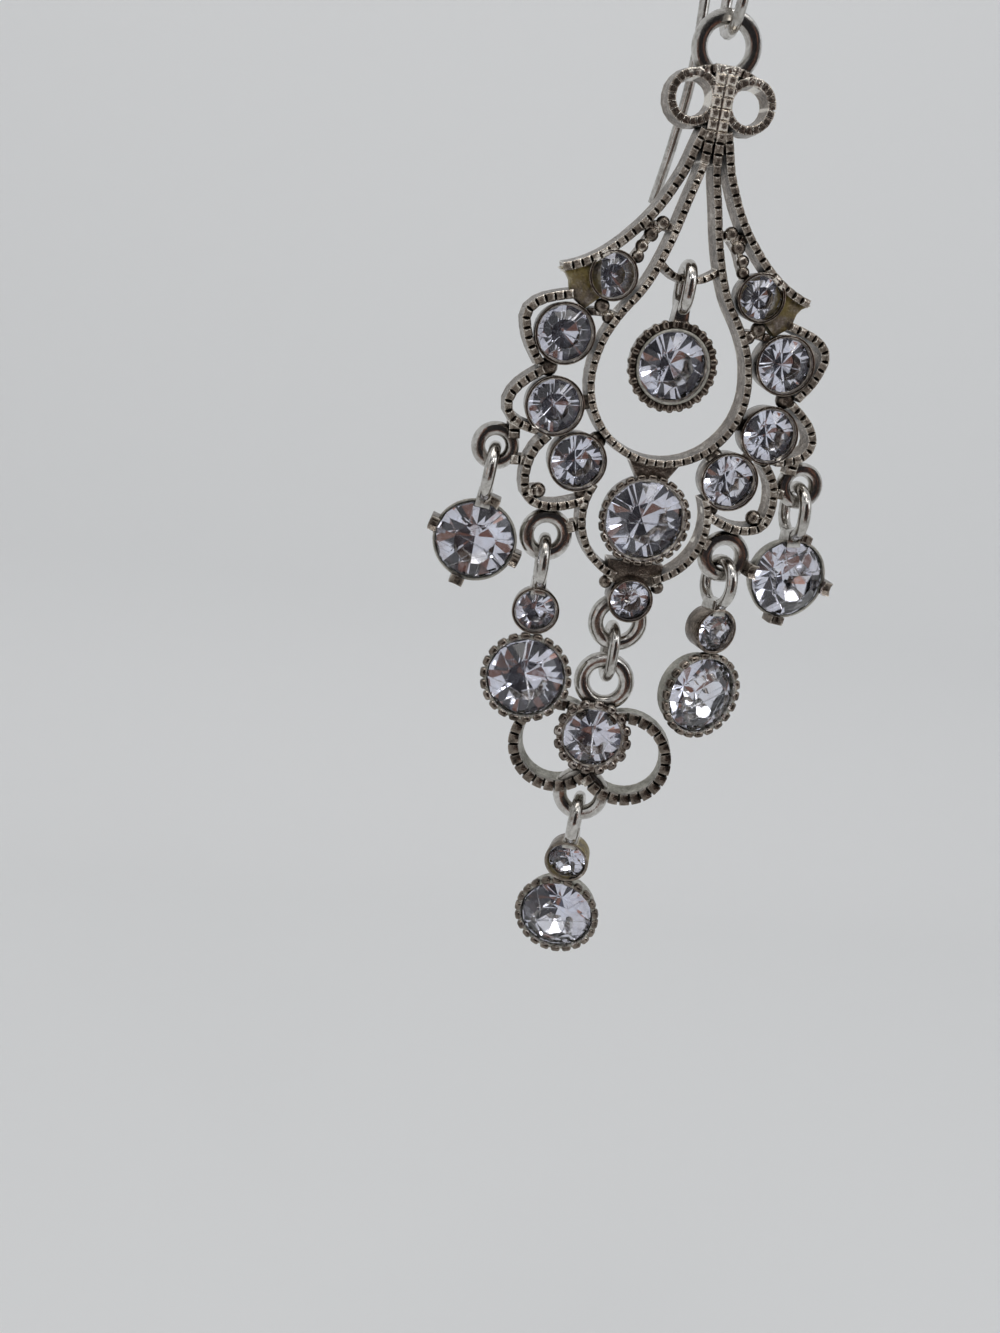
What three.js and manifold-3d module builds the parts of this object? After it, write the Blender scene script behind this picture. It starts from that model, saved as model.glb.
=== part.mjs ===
// Chandelier earring: an ear wire carries a cast filigree frame set with crystals, and drops hang from the
// frame's rings. Millimetres, +Z up, the front looks along -Y. The origin is the top of the ear wire's arch,
// on its inner side, where it sits in the ear.
import * as THREE from "three";
import { mergeVertices } from "three/addons/utils/BufferGeometryUtils.js";
import Module from "manifold-3d";

const wasm = await Module();
wasm.setup();

// ---- Driving dimensions -------------------------------------------------------------------------------
// The casting is drawn face up: x to the right, y up the earring, z towards the viewer. y is 0 at the
// frame's two highest stones and z is 0 in the plane of the hanging rings.
const SEAT_HEIGHT = 28; // the ear's seat above y = 0
const RING_PLANE_FORWARD = 3.1; // the ring plane in front of the ear's seat

const WIRE_RADIUS = 0.35;
const WIRE_EYE_RADIUS = 1.9; // centre line of the small loop that holds the frame
const ARCH_RADIUS = 5; // centre line of the arch over the ear
const SWING_GAP = 0.1; // between the eye and the frame's top ring

const FRONT = 1.6; // front of the strands and rims of the cups
const STRAND_BACK = -0.1;
const CUP_BACK = -0.6;
const STRAND_WIDTH = 0.66;
const STONE_PLAY = 0.07; // between a stone and the wall of its cup
const CUP_WALL = 0.23;
const HANG_GAP = 0.15; // between a bail and the ring that it hangs on
const ROUND = 16; // sides of a turned cup or stone

const TOP_RING = { x: 0, y: 13.85, hole: 1.2, bar: 0.95, depth: 1.25 };
const OUTER_RING = { x: 10.35, y: -11.6, hole: 0.65, bar: 0.92, depth: 1.2 };
const INNER_RING = { x: 6.15, y: -17.0, hole: 0.78, bar: 1.0, depth: 1.2 };
const FOOT_RING = { x: -0.25, y: -22.4, hole: 1.0, bar: 1.05, depth: 1.2 };

// One row for each stone down a side of the frame: its centre and the radius of its glass.
const SIDE_STONES = [
  { x: 4.77, y: -0.07, glass: 1.33 },
  { x: 7.2, y: -3.93, glass: 1.71 },
  { x: 7.13, y: -8.45, glass: 1.69 },
  { x: 5.1, y: -11.75, glass: 1.71 },
];
const CENTRE_STONE = { x: 0, y: -15, glass: 2.62, bezel: 3.05 };
const FOOT_STONE = { x: 0, y: -20.46, glass: 1.3 };

const TEARDROP = { y: -6.1, radius: 5.1 }; // the round lower part of the teardrop opening's strand
const LYRE = { y: -14.95, radius: 4.2 }; // the open ring round the centre stone

const SMALL_DROP_GLASS = 1.35;
const LARGE_DROP_GLASS = 2.62;
const LARGE_DROP_BEZEL = 3.08;
const SMALL_BELOW_HANG = 4.4; // from where a drop hangs down to its small stone
const LARGE_BELOW_SMALL = 4.65;
const SINGLE_BELOW_HANG = 5.85;
const CLAW_ANGLES = [-12, 78, 168, 258]; // round a single drop's stone

const PENDANT = { hangY: 0.84, hangZ: 0.7, below: 5.83, radius: 2.98, glass: 2.2 };

// The heart piece: heights below the centre of its ring.
const HEART = {
  ring: { x: 0, y: 0, hole: 1.0, bar: 1.1, depth: 1.2 },
  setting: { y: -3.9, radius: 2.72, glass: 2.05, rim: 1.25 },
  loop: { x: 2.4, y: -5.05, radius: 2.98 },
  lowerRing: { x: 0, y: -8.35, hole: 0.98, bar: 1.0, depth: 1.2 },
};

// ---- Materials ----------------------------------------------------------------------------------------
const cast = new THREE.MeshStandardMaterial({ color: 0x8b8781, roughness: 0.42, metalness: 1 });
const polished = new THREE.MeshStandardMaterial({ color: 0xb4b1ac, roughness: 0.18, metalness: 1 });
const crystal = new THREE.MeshStandardMaterial({ color: 0xc3c6d6, roughness: 0.04, metalness: 0.1 });

// ---- Solids -------------------------------------------------------------------------------------------
/** A closed geometry as a solid that can be joined and cut. */
function solid(geometry) {
  const bare = geometry.index ? geometry.toNonIndexed() : geometry.clone();
  bare.deleteAttribute("normal");
  bare.deleteAttribute("uv");
  const merged = mergeVertices(bare, 1e-4);
  return new wasm.Manifold(
    new wasm.Mesh({
      numProp: 3,
      vertProperties: merged.attributes.position.array,
      triVerts: new Uint32Array(merged.index.array),
    }),
  );
}

/** Several geometries joined into one solid. */
function joined(geometries) {
  return geometries.map(solid).reduce((whole, piece) => whole.add(piece));
}

/** A solid's surface as a geometry with flat faces. */
function surface(made) {
  const { vertProperties, triVerts } = made.getMesh();
  const indexed = new THREE.BufferGeometry();
  indexed.setAttribute("position", new THREE.BufferAttribute(vertProperties, 3));
  indexed.setIndex(new THREE.BufferAttribute(triVerts, 1));
  const flat = indexed.toNonIndexed();
  flat.computeVertexNormals();
  return flat;
}

/** Puts a geometry at a point of the drawing. */
const at = (geometry, x, y, z = 0) => geometry.translate(x, y, z);

/** A named mesh. */
function node(name, geometry, material) {
  const mesh = new THREE.Mesh(geometry, material);
  mesh.name = name;
  return mesh;
}

// ---- Shapes that repeat -------------------------------------------------------------------------------
/** Points of an arc in the drawing, from one angle to another, in degrees. */
function arc(x, y, radius, from, to, count) {
  return Array.from({ length: count + 1 }, (_, i) => {
    const angle = THREE.MathUtils.degToRad(from + ((to - from) * i) / count);
    return [x + radius * Math.cos(angle), y + radius * Math.sin(angle)];
  });
}

/** The same points on the other side of the earring when side is -1. */
const mirrored = (points, side) => points.map(([x, y]) => [x * side, y]);

/** A strand along points of the drawing, a little narrower at its front than at its back. */
function strand(points, { width = STRAND_WIDTH, front = FRONT, back = STRAND_BACK, steps = 9 } = {}) {
  const half = width / 2;
  const crest = half * 0.8;
  const section = new THREE.Shape(
    [
      [-back, -half],
      [-back, half],
      [-front, crest],
      [-front, -crest],
    ].map(([depth, across]) => new THREE.Vector2(depth, across)),
  );
  const path = new THREE.CatmullRomCurve3(points.map(([x, y]) => new THREE.Vector3(x, y, 0)));
  return new THREE.ExtrudeGeometry(section, { steps, extrudePath: path });
}

/** A flat plate with the given outline, from one depth to another. */
function plate(outline, back, front) {
  const shape = new THREE.Shape(outline.map(([x, y]) => new THREE.Vector2(x, y)));
  const geometry = new THREE.ExtrudeGeometry(shape, { depth: front - back, bevelEnabled: false });
  return geometry.translate(0, 0, back);
}

/** A ring with a rounded bar, its hole along z. */
function ring({ x, y, hole, bar, depth }, segments = 15) {
  const sides = 6;
  const profile = Array.from({ length: sides + 1 }, (_, i) => {
    const angle = ((i % sides) + 0.5) * ((2 * Math.PI) / sides);
    const reach = 1 / Math.cos(Math.PI / sides);
    return new THREE.Vector2(
      hole + (bar / 2) * (1 + reach * Math.cos(angle)),
      (depth / 2) * Math.sin(angle),
    );
  });
  return at(new THREE.LatheGeometry(profile, segments).rotateX(Math.PI / 2), x, y);
}

/** A turned solid with its axis along z. Each row of the outline is a radius and a z. */
function turned(outline, segments = ROUND) {
  const profile = outline.map(([radius, z]) => new THREE.Vector2(radius, z));
  return new THREE.LatheGeometry(profile, segments).rotateX(Math.PI / 2);
}

/** A solid cup blank, before its seat is cut. */
function cupBlank(radius, back, rim) {
  const bevel = 0.3;
  return turned([
    [0, back],
    [radius - bevel, back],
    [radius, back + bevel],
    [radius, rim],
    [0, rim],
  ]);
}

/** What is cut out of a cup so that a stone sits in it with its girdle just below the rim. */
function seat(glass, rim) {
  const wall = (glass + STONE_PLAY) / Math.cos(Math.PI / ROUND);
  return turned([
    [0, rim - glass * 0.98 - 0.25],
    [glass * 0.2, rim - glass * 0.98 - 0.25],
    [wall, rim - 0.45],
    [wall, rim + 1],
    [0, rim + 1],
  ]);
}

/** A round stone: its point at the back, the girdle, a sloping crown and a flat table. */
function stone(glass, rim) {
  const girdle = rim - 0.25;
  return turned([
    [0, girdle - glass * 0.78],
    [glass, girdle],
    [glass * 0.56, girdle + glass * 0.42],
    [0, girdle + glass * 0.42],
  ]);
}

/** A ball of metal. */
const ball = (x, y, z, radius) => at(new THREE.SphereGeometry(radius, 6, 4), x, y, z);

/** A plate with a beaded or ridged edge, round the rim of a setting. */
function scallops(radius, count, back, front) {
  const outline = Array.from({ length: 2 * count }, (_, i) => {
    const angle = (Math.PI * i) / count;
    const reach = i % 2 ? radius : radius - 0.16;
    return [reach * Math.cos(angle), reach * Math.sin(angle)];
  });
  return plate(outline, back, front);
}

/** A closed loop of rounded bar that stands across a ring, its hole along x, between two heights. */
function crossLoop({ top, bottom, depth, bar, width }, segments = 14) {
  const profile = roundOutline(bar / 2, width / 2, 6).map((p) => p.add(new THREE.Vector2(depth / 2, 0)));
  const round = new THREE.LatheGeometry([...profile, profile[0].clone()], segments).rotateZ(Math.PI / 2);
  const apart = (top - bottom - bar - depth) / 2;
  const position = round.attributes.position;
  for (let i = 0; i < position.count; i += 1) {
    // The loop is turned as a circle, then its top and bottom are drawn apart, each keeping its shape.
    const y = position.getY(i);
    position.setY(i, y + apart * Math.sign(Math.round(y * 100)));
  }
  return round.translate(0, (top + bottom) / 2, 0);
}

/** Corners of a rounded outline with the given half width and half height. */
const roundOutline = (halfWidth, halfHeight, sides) =>
  Array.from({ length: sides }, (_, i) => {
    const angle = (2 * Math.PI * (i + 0.5)) / sides;
    return new THREE.Vector2(halfWidth * Math.cos(angle), halfHeight * Math.sin(angle));
  });

// ---- The ear wire -------------------------------------------------------------------------------------
/** Points of an arc in the wire's own upright plane, as depth behind the seat and height. */
const wireArc = (y, z, radius, from, to, count) =>
  arc(y, z, radius, from, to, count).map(([depth, height]) => new THREE.Vector3(0, depth, height));

function earWire() {
  const eyeBottom = TOP_RING.y + TOP_RING.hole - SWING_GAP - WIRE_RADIUS - SEAT_HEIGHT;
  const eye = wireArc(-RING_PLANE_FORWARD, eyeBottom + WIRE_EYE_RADIUS, WIRE_EYE_RADIUS, 115, -180, 16);
  const archCentre = WIRE_RADIUS - ARCH_RADIUS;
  const arch = wireArc(0, archCentre, ARCH_RADIUS, 180, 0, 10);
  const leg = [
    new THREE.Vector3(0, ARCH_RADIUS, archCentre - 5),
    new THREE.Vector3(0.05, ARCH_RADIUS + 0.05, archCentre - 10),
    new THREE.Vector3(-0.3, ARCH_RADIUS + 0.7, archCentre - 14.5),
    new THREE.Vector3(-0.75, ARCH_RADIUS + 1.7, archCentre - 18.4),
  ];
  const path = new THREE.CatmullRomCurve3([...eye, ...arch, ...leg], false, "centripetal");
  const section = new THREE.Shape(roundOutline(WIRE_RADIUS, WIRE_RADIUS, 7));
  return new THREE.ExtrudeGeometry(section, { steps: 64, extrudePath: path });
}

// ---- The frame ----------------------------------------------------------------------------------------
/** The teardrop opening's strand: down one side, round the bottom and up the other side. */
function teardropStrand() {
  const side = [
    [0.42, 8.9],
    [0.42, 7.8],
    [0.48, 6.9],
    [0.67, 5.9],
    [0.93, 4.9],
    [1.4, 2.95],
    [1.69, 1.97],
    [2.44, 0],
    [2.98, -0.97],
    [3.7, -1.95],
    [4.27, -2.93],
    [4.72, -3.95],
  ];
  const round = arc(0, TEARDROP.y, TEARDROP.radius, 14, -194, 18);
  return strand([...side, ...round, ...mirrored(side, -1).reverse()], { width: 0.6, steps: 40 });
}

/** The strands, webs and balls of one side of the frame. */
function frameSide(side) {
  const curve = (points, options) => strand(mirrored(points, side), options);
  const outline = (points) => mirrored(side > 0 ? points : [...points].reverse(), side);
  const dot = (x, y, radius, z = 1) => ball(x * side, y, z, radius);
  const low = { front: 1.1, back: 0 };
  return [
    // column and outer strand down to the wing tip
    curve([[0.45, 12.3], [0.46, 10.5], [0.45, 8.4]], { width: 0.9, steps: 2 }),
    curve([[0.72, 9.1], [1.09, 7.85], [1.38, 6.82], [1.85, 5.77], [2.38, 4.73], [3.05, 3.7],
      [3.87, 2.72], [4.85, 1.72], [6.1, 0.78], [7.4, 0.15]], { steps: 12 }),
    plate(outline([[7.0, 0.65], [5.6, 1.1], [5.2, -1.4], [6.2, -2.3], [7.15, -1.6], [7.35, -0.75],
      [7.6, -0.4], [8.15, -0.1]]), 0, 1.25),
    // bar, chain of balls and stem between the inner and outer strands
    curve([[1.3, 3.15], [2.2, 3.3], [3.3, 3.05]], { ...low, width: 0.6, steps: 3 }),
    curve([[2.2, 3.2], [2.85, 2.5], [3.3, 1.6], [3.75, 0.9]], { ...low, width: 0.5, steps: 4 }),
    dot(2.2, 3.4, 0.45),
    dot(2.8, 2.65, 0.47),
    dot(3.25, 1.9, 0.42),
    dot(3.4, 1.25, 0.42),
    // web between the first two stones and the teardrop
    curve([[4.1, -2.45], [5, -2.35], [6, -2.45]], { ...low, width: 0.6, steps: 2 }),
    dot(5.1, -2, 0.5),
    dot(4.6, -2.6, 0.4),
    // lobes round the second and third stones
    curve([[7.0, -1.5], [8.1, -1.8], [8.95, -2.15], [9.55, -2.65], [9.75, -3.25], [9.6, -3.95],
      [9.25, -4.8], [8.45, -5.95]], { width: 0.7 }),
    curve([[8.1, -6.25], [9.2, -7.1], [9.85, -7.85], [10.1, -8.6], [9.95, -9.2], [9.5, -9.65],
      [8.8, -9.95], [7.9, -10.1]], { width: 0.7 }),
    dot(7.85, -6.1, 0.62, 0.8),
    dot(5.1, -8, 0.5, 0.7),
    dot(3.95, -10.35, 0.62, 0.7),
    dot(6.2, -10.1, 0.4, 0.7),
    // scroll round the fourth stone, with its curled end
    curve([[7.2, -10.3], [8, -11.4], [8.3, -12.6], [8.25, -13.7], [7.9, -14.45], [7.2, -14.8],
      [6.2, -14.85], [5.2, -14.6], [4.2, -14.2]], { width: 0.72, steps: 14 }),
    dot(7.3, -13.95, 0.52),
    curve([[7.4, -13.95], [8, -14.1]], { width: 0.6, steps: 2 }),
    curve([[9.4, -9.8], [9.3, -10.9]], { width: 0.9, front: 0.9, steps: 2 }),
    curve([[8.1, -12.2], [9.3, -12.3]], { width: 0.8, front: 0.6, steps: 2 }),
    // lyre round the centre stone and the bridge to the inner hanging ring
    curve(arc(0, LYRE.y, LYRE.radius, 27, -72, 10), { width: 0.65, steps: 10 }),
    dot(4.35, -13.75, 0.55, 0.8),
    curve([[3.9, -15.9], [4.9, -16.3]], { width: 0.9, front: 0.7, steps: 2 }),
    dot(1.78, -19.5, 0.45, 0.9),
  ];
}

/** The two bow loops at the foot of the top ring. */
function bowLoops() {
  const loop = { x: 0, y: 0, hole: 0.98, bar: 0.74, depth: FRONT - STRAND_BACK };
  return [-1, 1].map((side) => ring(loop).scale(1, 1.06, 1).translate(1.75 * side, 10.68, 0.75));
}

/** The frame: one casting, with a seat cut for every stone. */
function frame() {
  const cups = [-1, 1].flatMap((side) => SIDE_STONES.map((s) => ({ ...s, x: s.x * side })));
  const blanks = [...cups, FOOT_STONE].map(({ x, y, glass }) =>
    at(cupBlank(glass + CUP_WALL, CUP_BACK, FRONT), x, y),
  );
  const bezel = CENTRE_STONE;
  const pieces = [
    ring(TOP_RING),
    ...bowLoops(),
    plate([[-0.6, 9], [0.6, 9], [0.75, 12.7], [-0.75, 12.7]], 0, 1.1),
    teardropStrand(),
    strand([[-1.85, 1.05], [-1, 0.48], [0, 0.3], [1, 0.48], [1.85, 1.05]],
      { width: 0.55, front: 1.25, back: 0.15, steps: 6 }),
    ...frameSide(-1),
    ...frameSide(1),
    ...blanks,
    at(cupBlank(bezel.bezel - 0.2, CUP_BACK, FRONT), bezel.x, bezel.y),
    at(scallops(bezel.bezel, 24, FRONT - 0.6, FRONT), bezel.x, bezel.y),
    plate([[-0.95, -12.4], [0.95, -12.4], [1.7, -11.2], [-1.7, -11.2]], 0, 1.2),
    plate([[-1.75, -19.45], [1.75, -19.45], [1.9, -17.9], [-1.9, -17.9]], -0.3, 1.2),
    ...[-1, 1].flatMap((side) => [OUTER_RING, INNER_RING].map((r) => ring({ ...r, x: r.x * side }))),
    ring(FOOT_RING),
  ];
  const seats = [...cups, FOOT_STONE, bezel].map(({ x, y, glass }) => at(seat(glass, FRONT), x, y));
  return surface(joined(pieces).subtract(joined(seats)));
}

/** The stones that sit in the frame. */
function frameStones() {
  const sides = { left: -1, right: 1 };
  const pairs = Object.entries(sides).flatMap(([word, side]) =>
    SIDE_STONES.map(({ x, y, glass }, i) =>
      node(`side_stone_${i + 1}_${word}`, at(stone(glass, FRONT), x * side, y), crystal),
    ),
  );
  const { x, y, glass } = CENTRE_STONE;
  return [
    ...pairs,
    node("centre_stone", at(stone(glass, FRONT), x, y), crystal),
    node("foot_stone", at(stone(FOOT_STONE.glass, FRONT), FOOT_STONE.x, FOOT_STONE.y), crystal),
  ];
}

// ---- What hangs ---------------------------------------------------------------------------------------
/** A group that hangs at a point of the drawing: turned about the vertical, swung back, and rolled. */
function hung(name, x, y, z, { turn = 0, swing = 0, roll = 0 }, meshes) {
  const group = new THREE.Group();
  group.name = name;
  group.position.set(x, y, z);
  group.rotation.set(
    THREE.MathUtils.degToRad(swing),
    THREE.MathUtils.degToRad(turn),
    THREE.MathUtils.degToRad(roll),
    "YXZ",
  );
  group.add(...meshes);
  return group;
}

/** A drop's bail: it hangs by the inside of its top, at the group's origin. */
const bail = (bottom) => crossLoop({ top: 0.8, bottom, depth: 3, bar: 0.8, width: 0.9 });

/** A beaded setting's blank: a cup with a scalloped edge. */
const beadedBlank = (radius, y, rim, count) =>
  [cupBlank(radius - 0.2, -0.85, rim), scallops(radius, count, rim - 0.6, rim)].map((piece) => at(piece, 0, y));

/** A bail, a small stone and a large stone below it. */
function doubleDrop(name) {
  const rim = 0.95;
  const smallY = -SMALL_BELOW_HANG;
  const largeY = smallY - LARGE_BELOW_SMALL;
  const metal = joined([
    bail(-3.1),
    at(cupBlank(SMALL_DROP_GLASS + 0.25, -0.85, rim), 0, smallY),
    ...beadedBlank(LARGE_DROP_BEZEL, largeY, rim, 22),
    plate([[-0.6, smallY + 1], [0.6, smallY + 1], [0.5, -2.3], [-0.5, -2.3]], -0.9, 0.9),
  ]);
  const seats = joined([
    at(seat(SMALL_DROP_GLASS, rim), 0, smallY),
    at(seat(LARGE_DROP_GLASS, rim), 0, largeY),
  ]);
  return [
    node(name, surface(metal.subtract(seats)), cast),
    node(`${name}_small_stone`, at(stone(SMALL_DROP_GLASS, rim), 0, smallY), crystal),
    node(`${name}_large_stone`, at(stone(LARGE_DROP_GLASS, rim), 0, largeY), crystal),
  ];
}

/** A bail and one large stone held by four small claws. */
function singleDrop(name) {
  const rim = 0.55;
  const y = -SINGLE_BELOW_HANG;
  const claws = CLAW_ANGLES.map((angle) =>
    at(new THREE.BoxGeometry(0.45, 0.7, 1.2), LARGE_DROP_GLASS + 0.2, 0, rim)
      .rotateZ(THREE.MathUtils.degToRad(angle))
      .translate(0, y, 0),
  );
  const metal = joined([
    bail(-3.3),
    at(cupBlank(LARGE_DROP_GLASS + 0.2, -0.85, rim), 0, y),
    plate([[-0.6, y + 2.2], [0.6, y + 2.2], [0.5, -2.5], [-0.5, -2.5]], -0.9, 0.7),
    ...claws,
  ]);
  return [
    node(name, surface(metal.subtract(solid(at(seat(LARGE_DROP_GLASS, rim), 0, y)))), cast),
    node(`${name}_stone`, at(stone(LARGE_DROP_GLASS, rim), 0, y), crystal),
  ];
}

/** The pendant in the teardrop opening: a bail over the crossbar and a ridged setting. */
function teardropPendant() {
  const rim = 0.95;
  const y = -PENDANT.below;
  const metal = joined([
    crossLoop({ top: 0.75, bottom: -2.4, depth: 2.45, bar: 0.72, width: 0.9 }),
    plate([[-0.6, y + 2.4], [0.6, y + 2.4], [0.5, -1.8], [-0.5, -1.8]], -0.6, 0.8),
    ...beadedBlank(PENDANT.radius, y, rim, 26),
  ]);
  return [
    node("teardrop_pendant", surface(metal.subtract(solid(at(seat(PENDANT.glass, rim), 0, y)))), cast),
    node("teardrop_stone", at(stone(PENDANT.glass, rim), 0, y), crystal),
  ];
}

/** The heart piece: a ring, a beaded setting, two notched loops that meet below it, and a lower ring. */
function heartPiece() {
  const { setting, loop } = HEART;
  const loops = [-1, 1].map((side) =>
    strand(mirrored(arc(loop.x, loop.y, loop.radius, 125, -144, 18), side), {
      width: 0.75,
      front: 1,
      back: -0.85,
      steps: 18,
    }),
  );
  const metal = joined([
    ring(HEART.ring),
    ...beadedBlank(setting.radius, setting.y, setting.rim, 16),
    ...loops,
    ring(HEART.lowerRing),
    ball(0, loop.y - 2.1, 0, 0.6),
  ]);
  const cut = solid(at(seat(setting.glass, setting.rim), 0, setting.y));
  return [
    node("heart_piece", surface(metal.subtract(cut)), cast),
    node("heart_stone", at(stone(setting.glass, setting.rim), 0, setting.y), crystal),
  ];
}

/** The heart piece with the drop that hangs on its lower ring. */
function heartAndBottomDrop(x, y, z) {
  const heart = hung("heart", x, y, z, { turn: -13, swing: -3.5, roll: -1.5 }, heartPiece());
  heart.updateMatrix();
  const hang = new THREE.Vector3(0, hangHeight(HEART.lowerRing), 0).applyMatrix4(heart.matrix);
  const pose = { turn: -17.5, swing: 5.5, roll: -1 };
  return [heart, hung("bottom", hang.x, hang.y, hang.z, pose, doubleDrop("bottom_drop"))];
}

/** Where a bail hangs in one of the frame's rings. */
const hangHeight = ({ y, hole }) => y - hole + HANG_GAP;

function hangingPieces() {
  const linkAt = { x: -0.4, y: hangHeight(FOOT_RING), z: -0.2 };
  const link = { top: 0.82, bottom: -3.55, depth: 2.6, bar: 0.82, width: 0.82 };
  const heartY = linkAt.y + link.bottom + link.bar + HANG_GAP - HEART.ring.hole;
  const outerY = hangHeight(OUTER_RING);
  const innerY = hangHeight(INNER_RING);
  const poses = {
    outerLeft: { turn: -8, swing: 2.5, roll: -4.3 },
    outerRight: { turn: 8, swing: 1, roll: 4.6 },
    innerLeft: { turn: -6, swing: -4.6, roll: 0.6 },
    innerRight: { turn: 19, swing: -1.8, roll: -1.4 },
  };
  return [
    hung("pendant", 0, PENDANT.hangY, PENDANT.hangZ, { swing: 2 }, teardropPendant()),
    hung("link", linkAt.x, linkAt.y, linkAt.z, {}, [node("centre_link", crossLoop(link, 16), polished)]),
    ...heartAndBottomDrop(linkAt.x, heartY, linkAt.z),
    hung("outer_left", -OUTER_RING.x, outerY, 0, poses.outerLeft, singleDrop("outer_drop_left")),
    hung("outer_right", OUTER_RING.x, outerY, 0, poses.outerRight, singleDrop("outer_drop_right")),
    hung("inner_left", -INNER_RING.x, innerY, 0.2, poses.innerLeft, doubleDrop("inner_drop_left")),
    hung("inner_right", INNER_RING.x, innerY, 0.2, poses.innerRight, doubleDrop("inner_drop_right")),
  ];
}

// ---- The earring --------------------------------------------------------------------------------------
function chandelier() {
  const drawing = new THREE.Group();
  drawing.name = "chandelier";
  drawing.rotation.x = Math.PI / 2;
  drawing.position.set(0, -RING_PLANE_FORWARD, -SEAT_HEIGHT);
  drawing.add(node("frame", frame(), cast), ...frameStones(), ...hangingPieces());
  return drawing;
}

const earring = new THREE.Group();
earring.name = "chandelier_earring";
earring.add(node("ear_wire", earWire(), polished), chandelier());

export default earring;
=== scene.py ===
"""The looks of a chandelier earring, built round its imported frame.

Every piece is modelled on the bench: in millimetres, lying face up, x to the right, y up the earring and z towards
the viewer. It is then stood up and hung in its place in the row frame, which is in metres with +Z up and the front
towards -Y. On the bench y is 0 at the two highest stones, and z is 0 in the plane of the hanging rings.
"""

import sys
import contextlib
import logging
import math
from dataclasses import dataclass
from enum import Enum
from typing import Callable, Iterator, Sequence

import bmesh
import bpy
from mathutils import Euler, Matrix, Vector


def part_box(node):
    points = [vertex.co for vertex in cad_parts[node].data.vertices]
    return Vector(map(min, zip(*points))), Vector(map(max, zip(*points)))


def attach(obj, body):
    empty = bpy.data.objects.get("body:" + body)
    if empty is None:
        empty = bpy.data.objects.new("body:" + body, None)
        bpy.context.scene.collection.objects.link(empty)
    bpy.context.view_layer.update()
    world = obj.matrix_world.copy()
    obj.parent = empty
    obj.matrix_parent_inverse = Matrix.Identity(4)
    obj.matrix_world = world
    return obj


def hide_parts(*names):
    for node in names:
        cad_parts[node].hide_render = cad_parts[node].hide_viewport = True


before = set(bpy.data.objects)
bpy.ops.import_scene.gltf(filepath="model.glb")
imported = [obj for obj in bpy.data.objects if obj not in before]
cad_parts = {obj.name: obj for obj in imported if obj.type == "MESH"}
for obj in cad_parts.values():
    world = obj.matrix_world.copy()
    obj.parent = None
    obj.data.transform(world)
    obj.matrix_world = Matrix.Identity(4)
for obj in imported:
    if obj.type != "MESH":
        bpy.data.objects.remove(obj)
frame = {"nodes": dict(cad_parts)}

log = logging.getLogger("earring")

Obj = bpy.types.Object
Material = bpy.types.Material
Socket = bpy.types.NodeSocket
Point = tuple[float, float]
Triple = tuple[float, float, float]
Test = Callable[[object], bool]

MM = 0.001
SEAT_HEIGHT = 28.0  # the ear's seat above y = 0 on the bench
RING_PLANE_FORWARD = 3.1  # the hanging rings' plane in front of the ear's seat
HANG_GAP = 0.15  # between a bail and the ring that it hangs on
TO_METRES = Matrix.Scale(MM, 4)
STAND_UP = (
    TO_METRES
    @ Matrix.Translation((0, -RING_PLANE_FORWARD, -SEAT_HEIGHT))
    @ Matrix.Rotation(math.pi / 2, 4, "X")
)


class Body(Enum):
    """The two bodies that a piece can ride on."""

    EAR_WIRE = "ear_wire"
    CHANDELIER = "chandelier"


class Slot(Enum):
    """The record's material slots."""

    CAST = "cast_metal"
    POLISHED = "polished_metal"
    CRYSTAL = "crystal"


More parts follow.
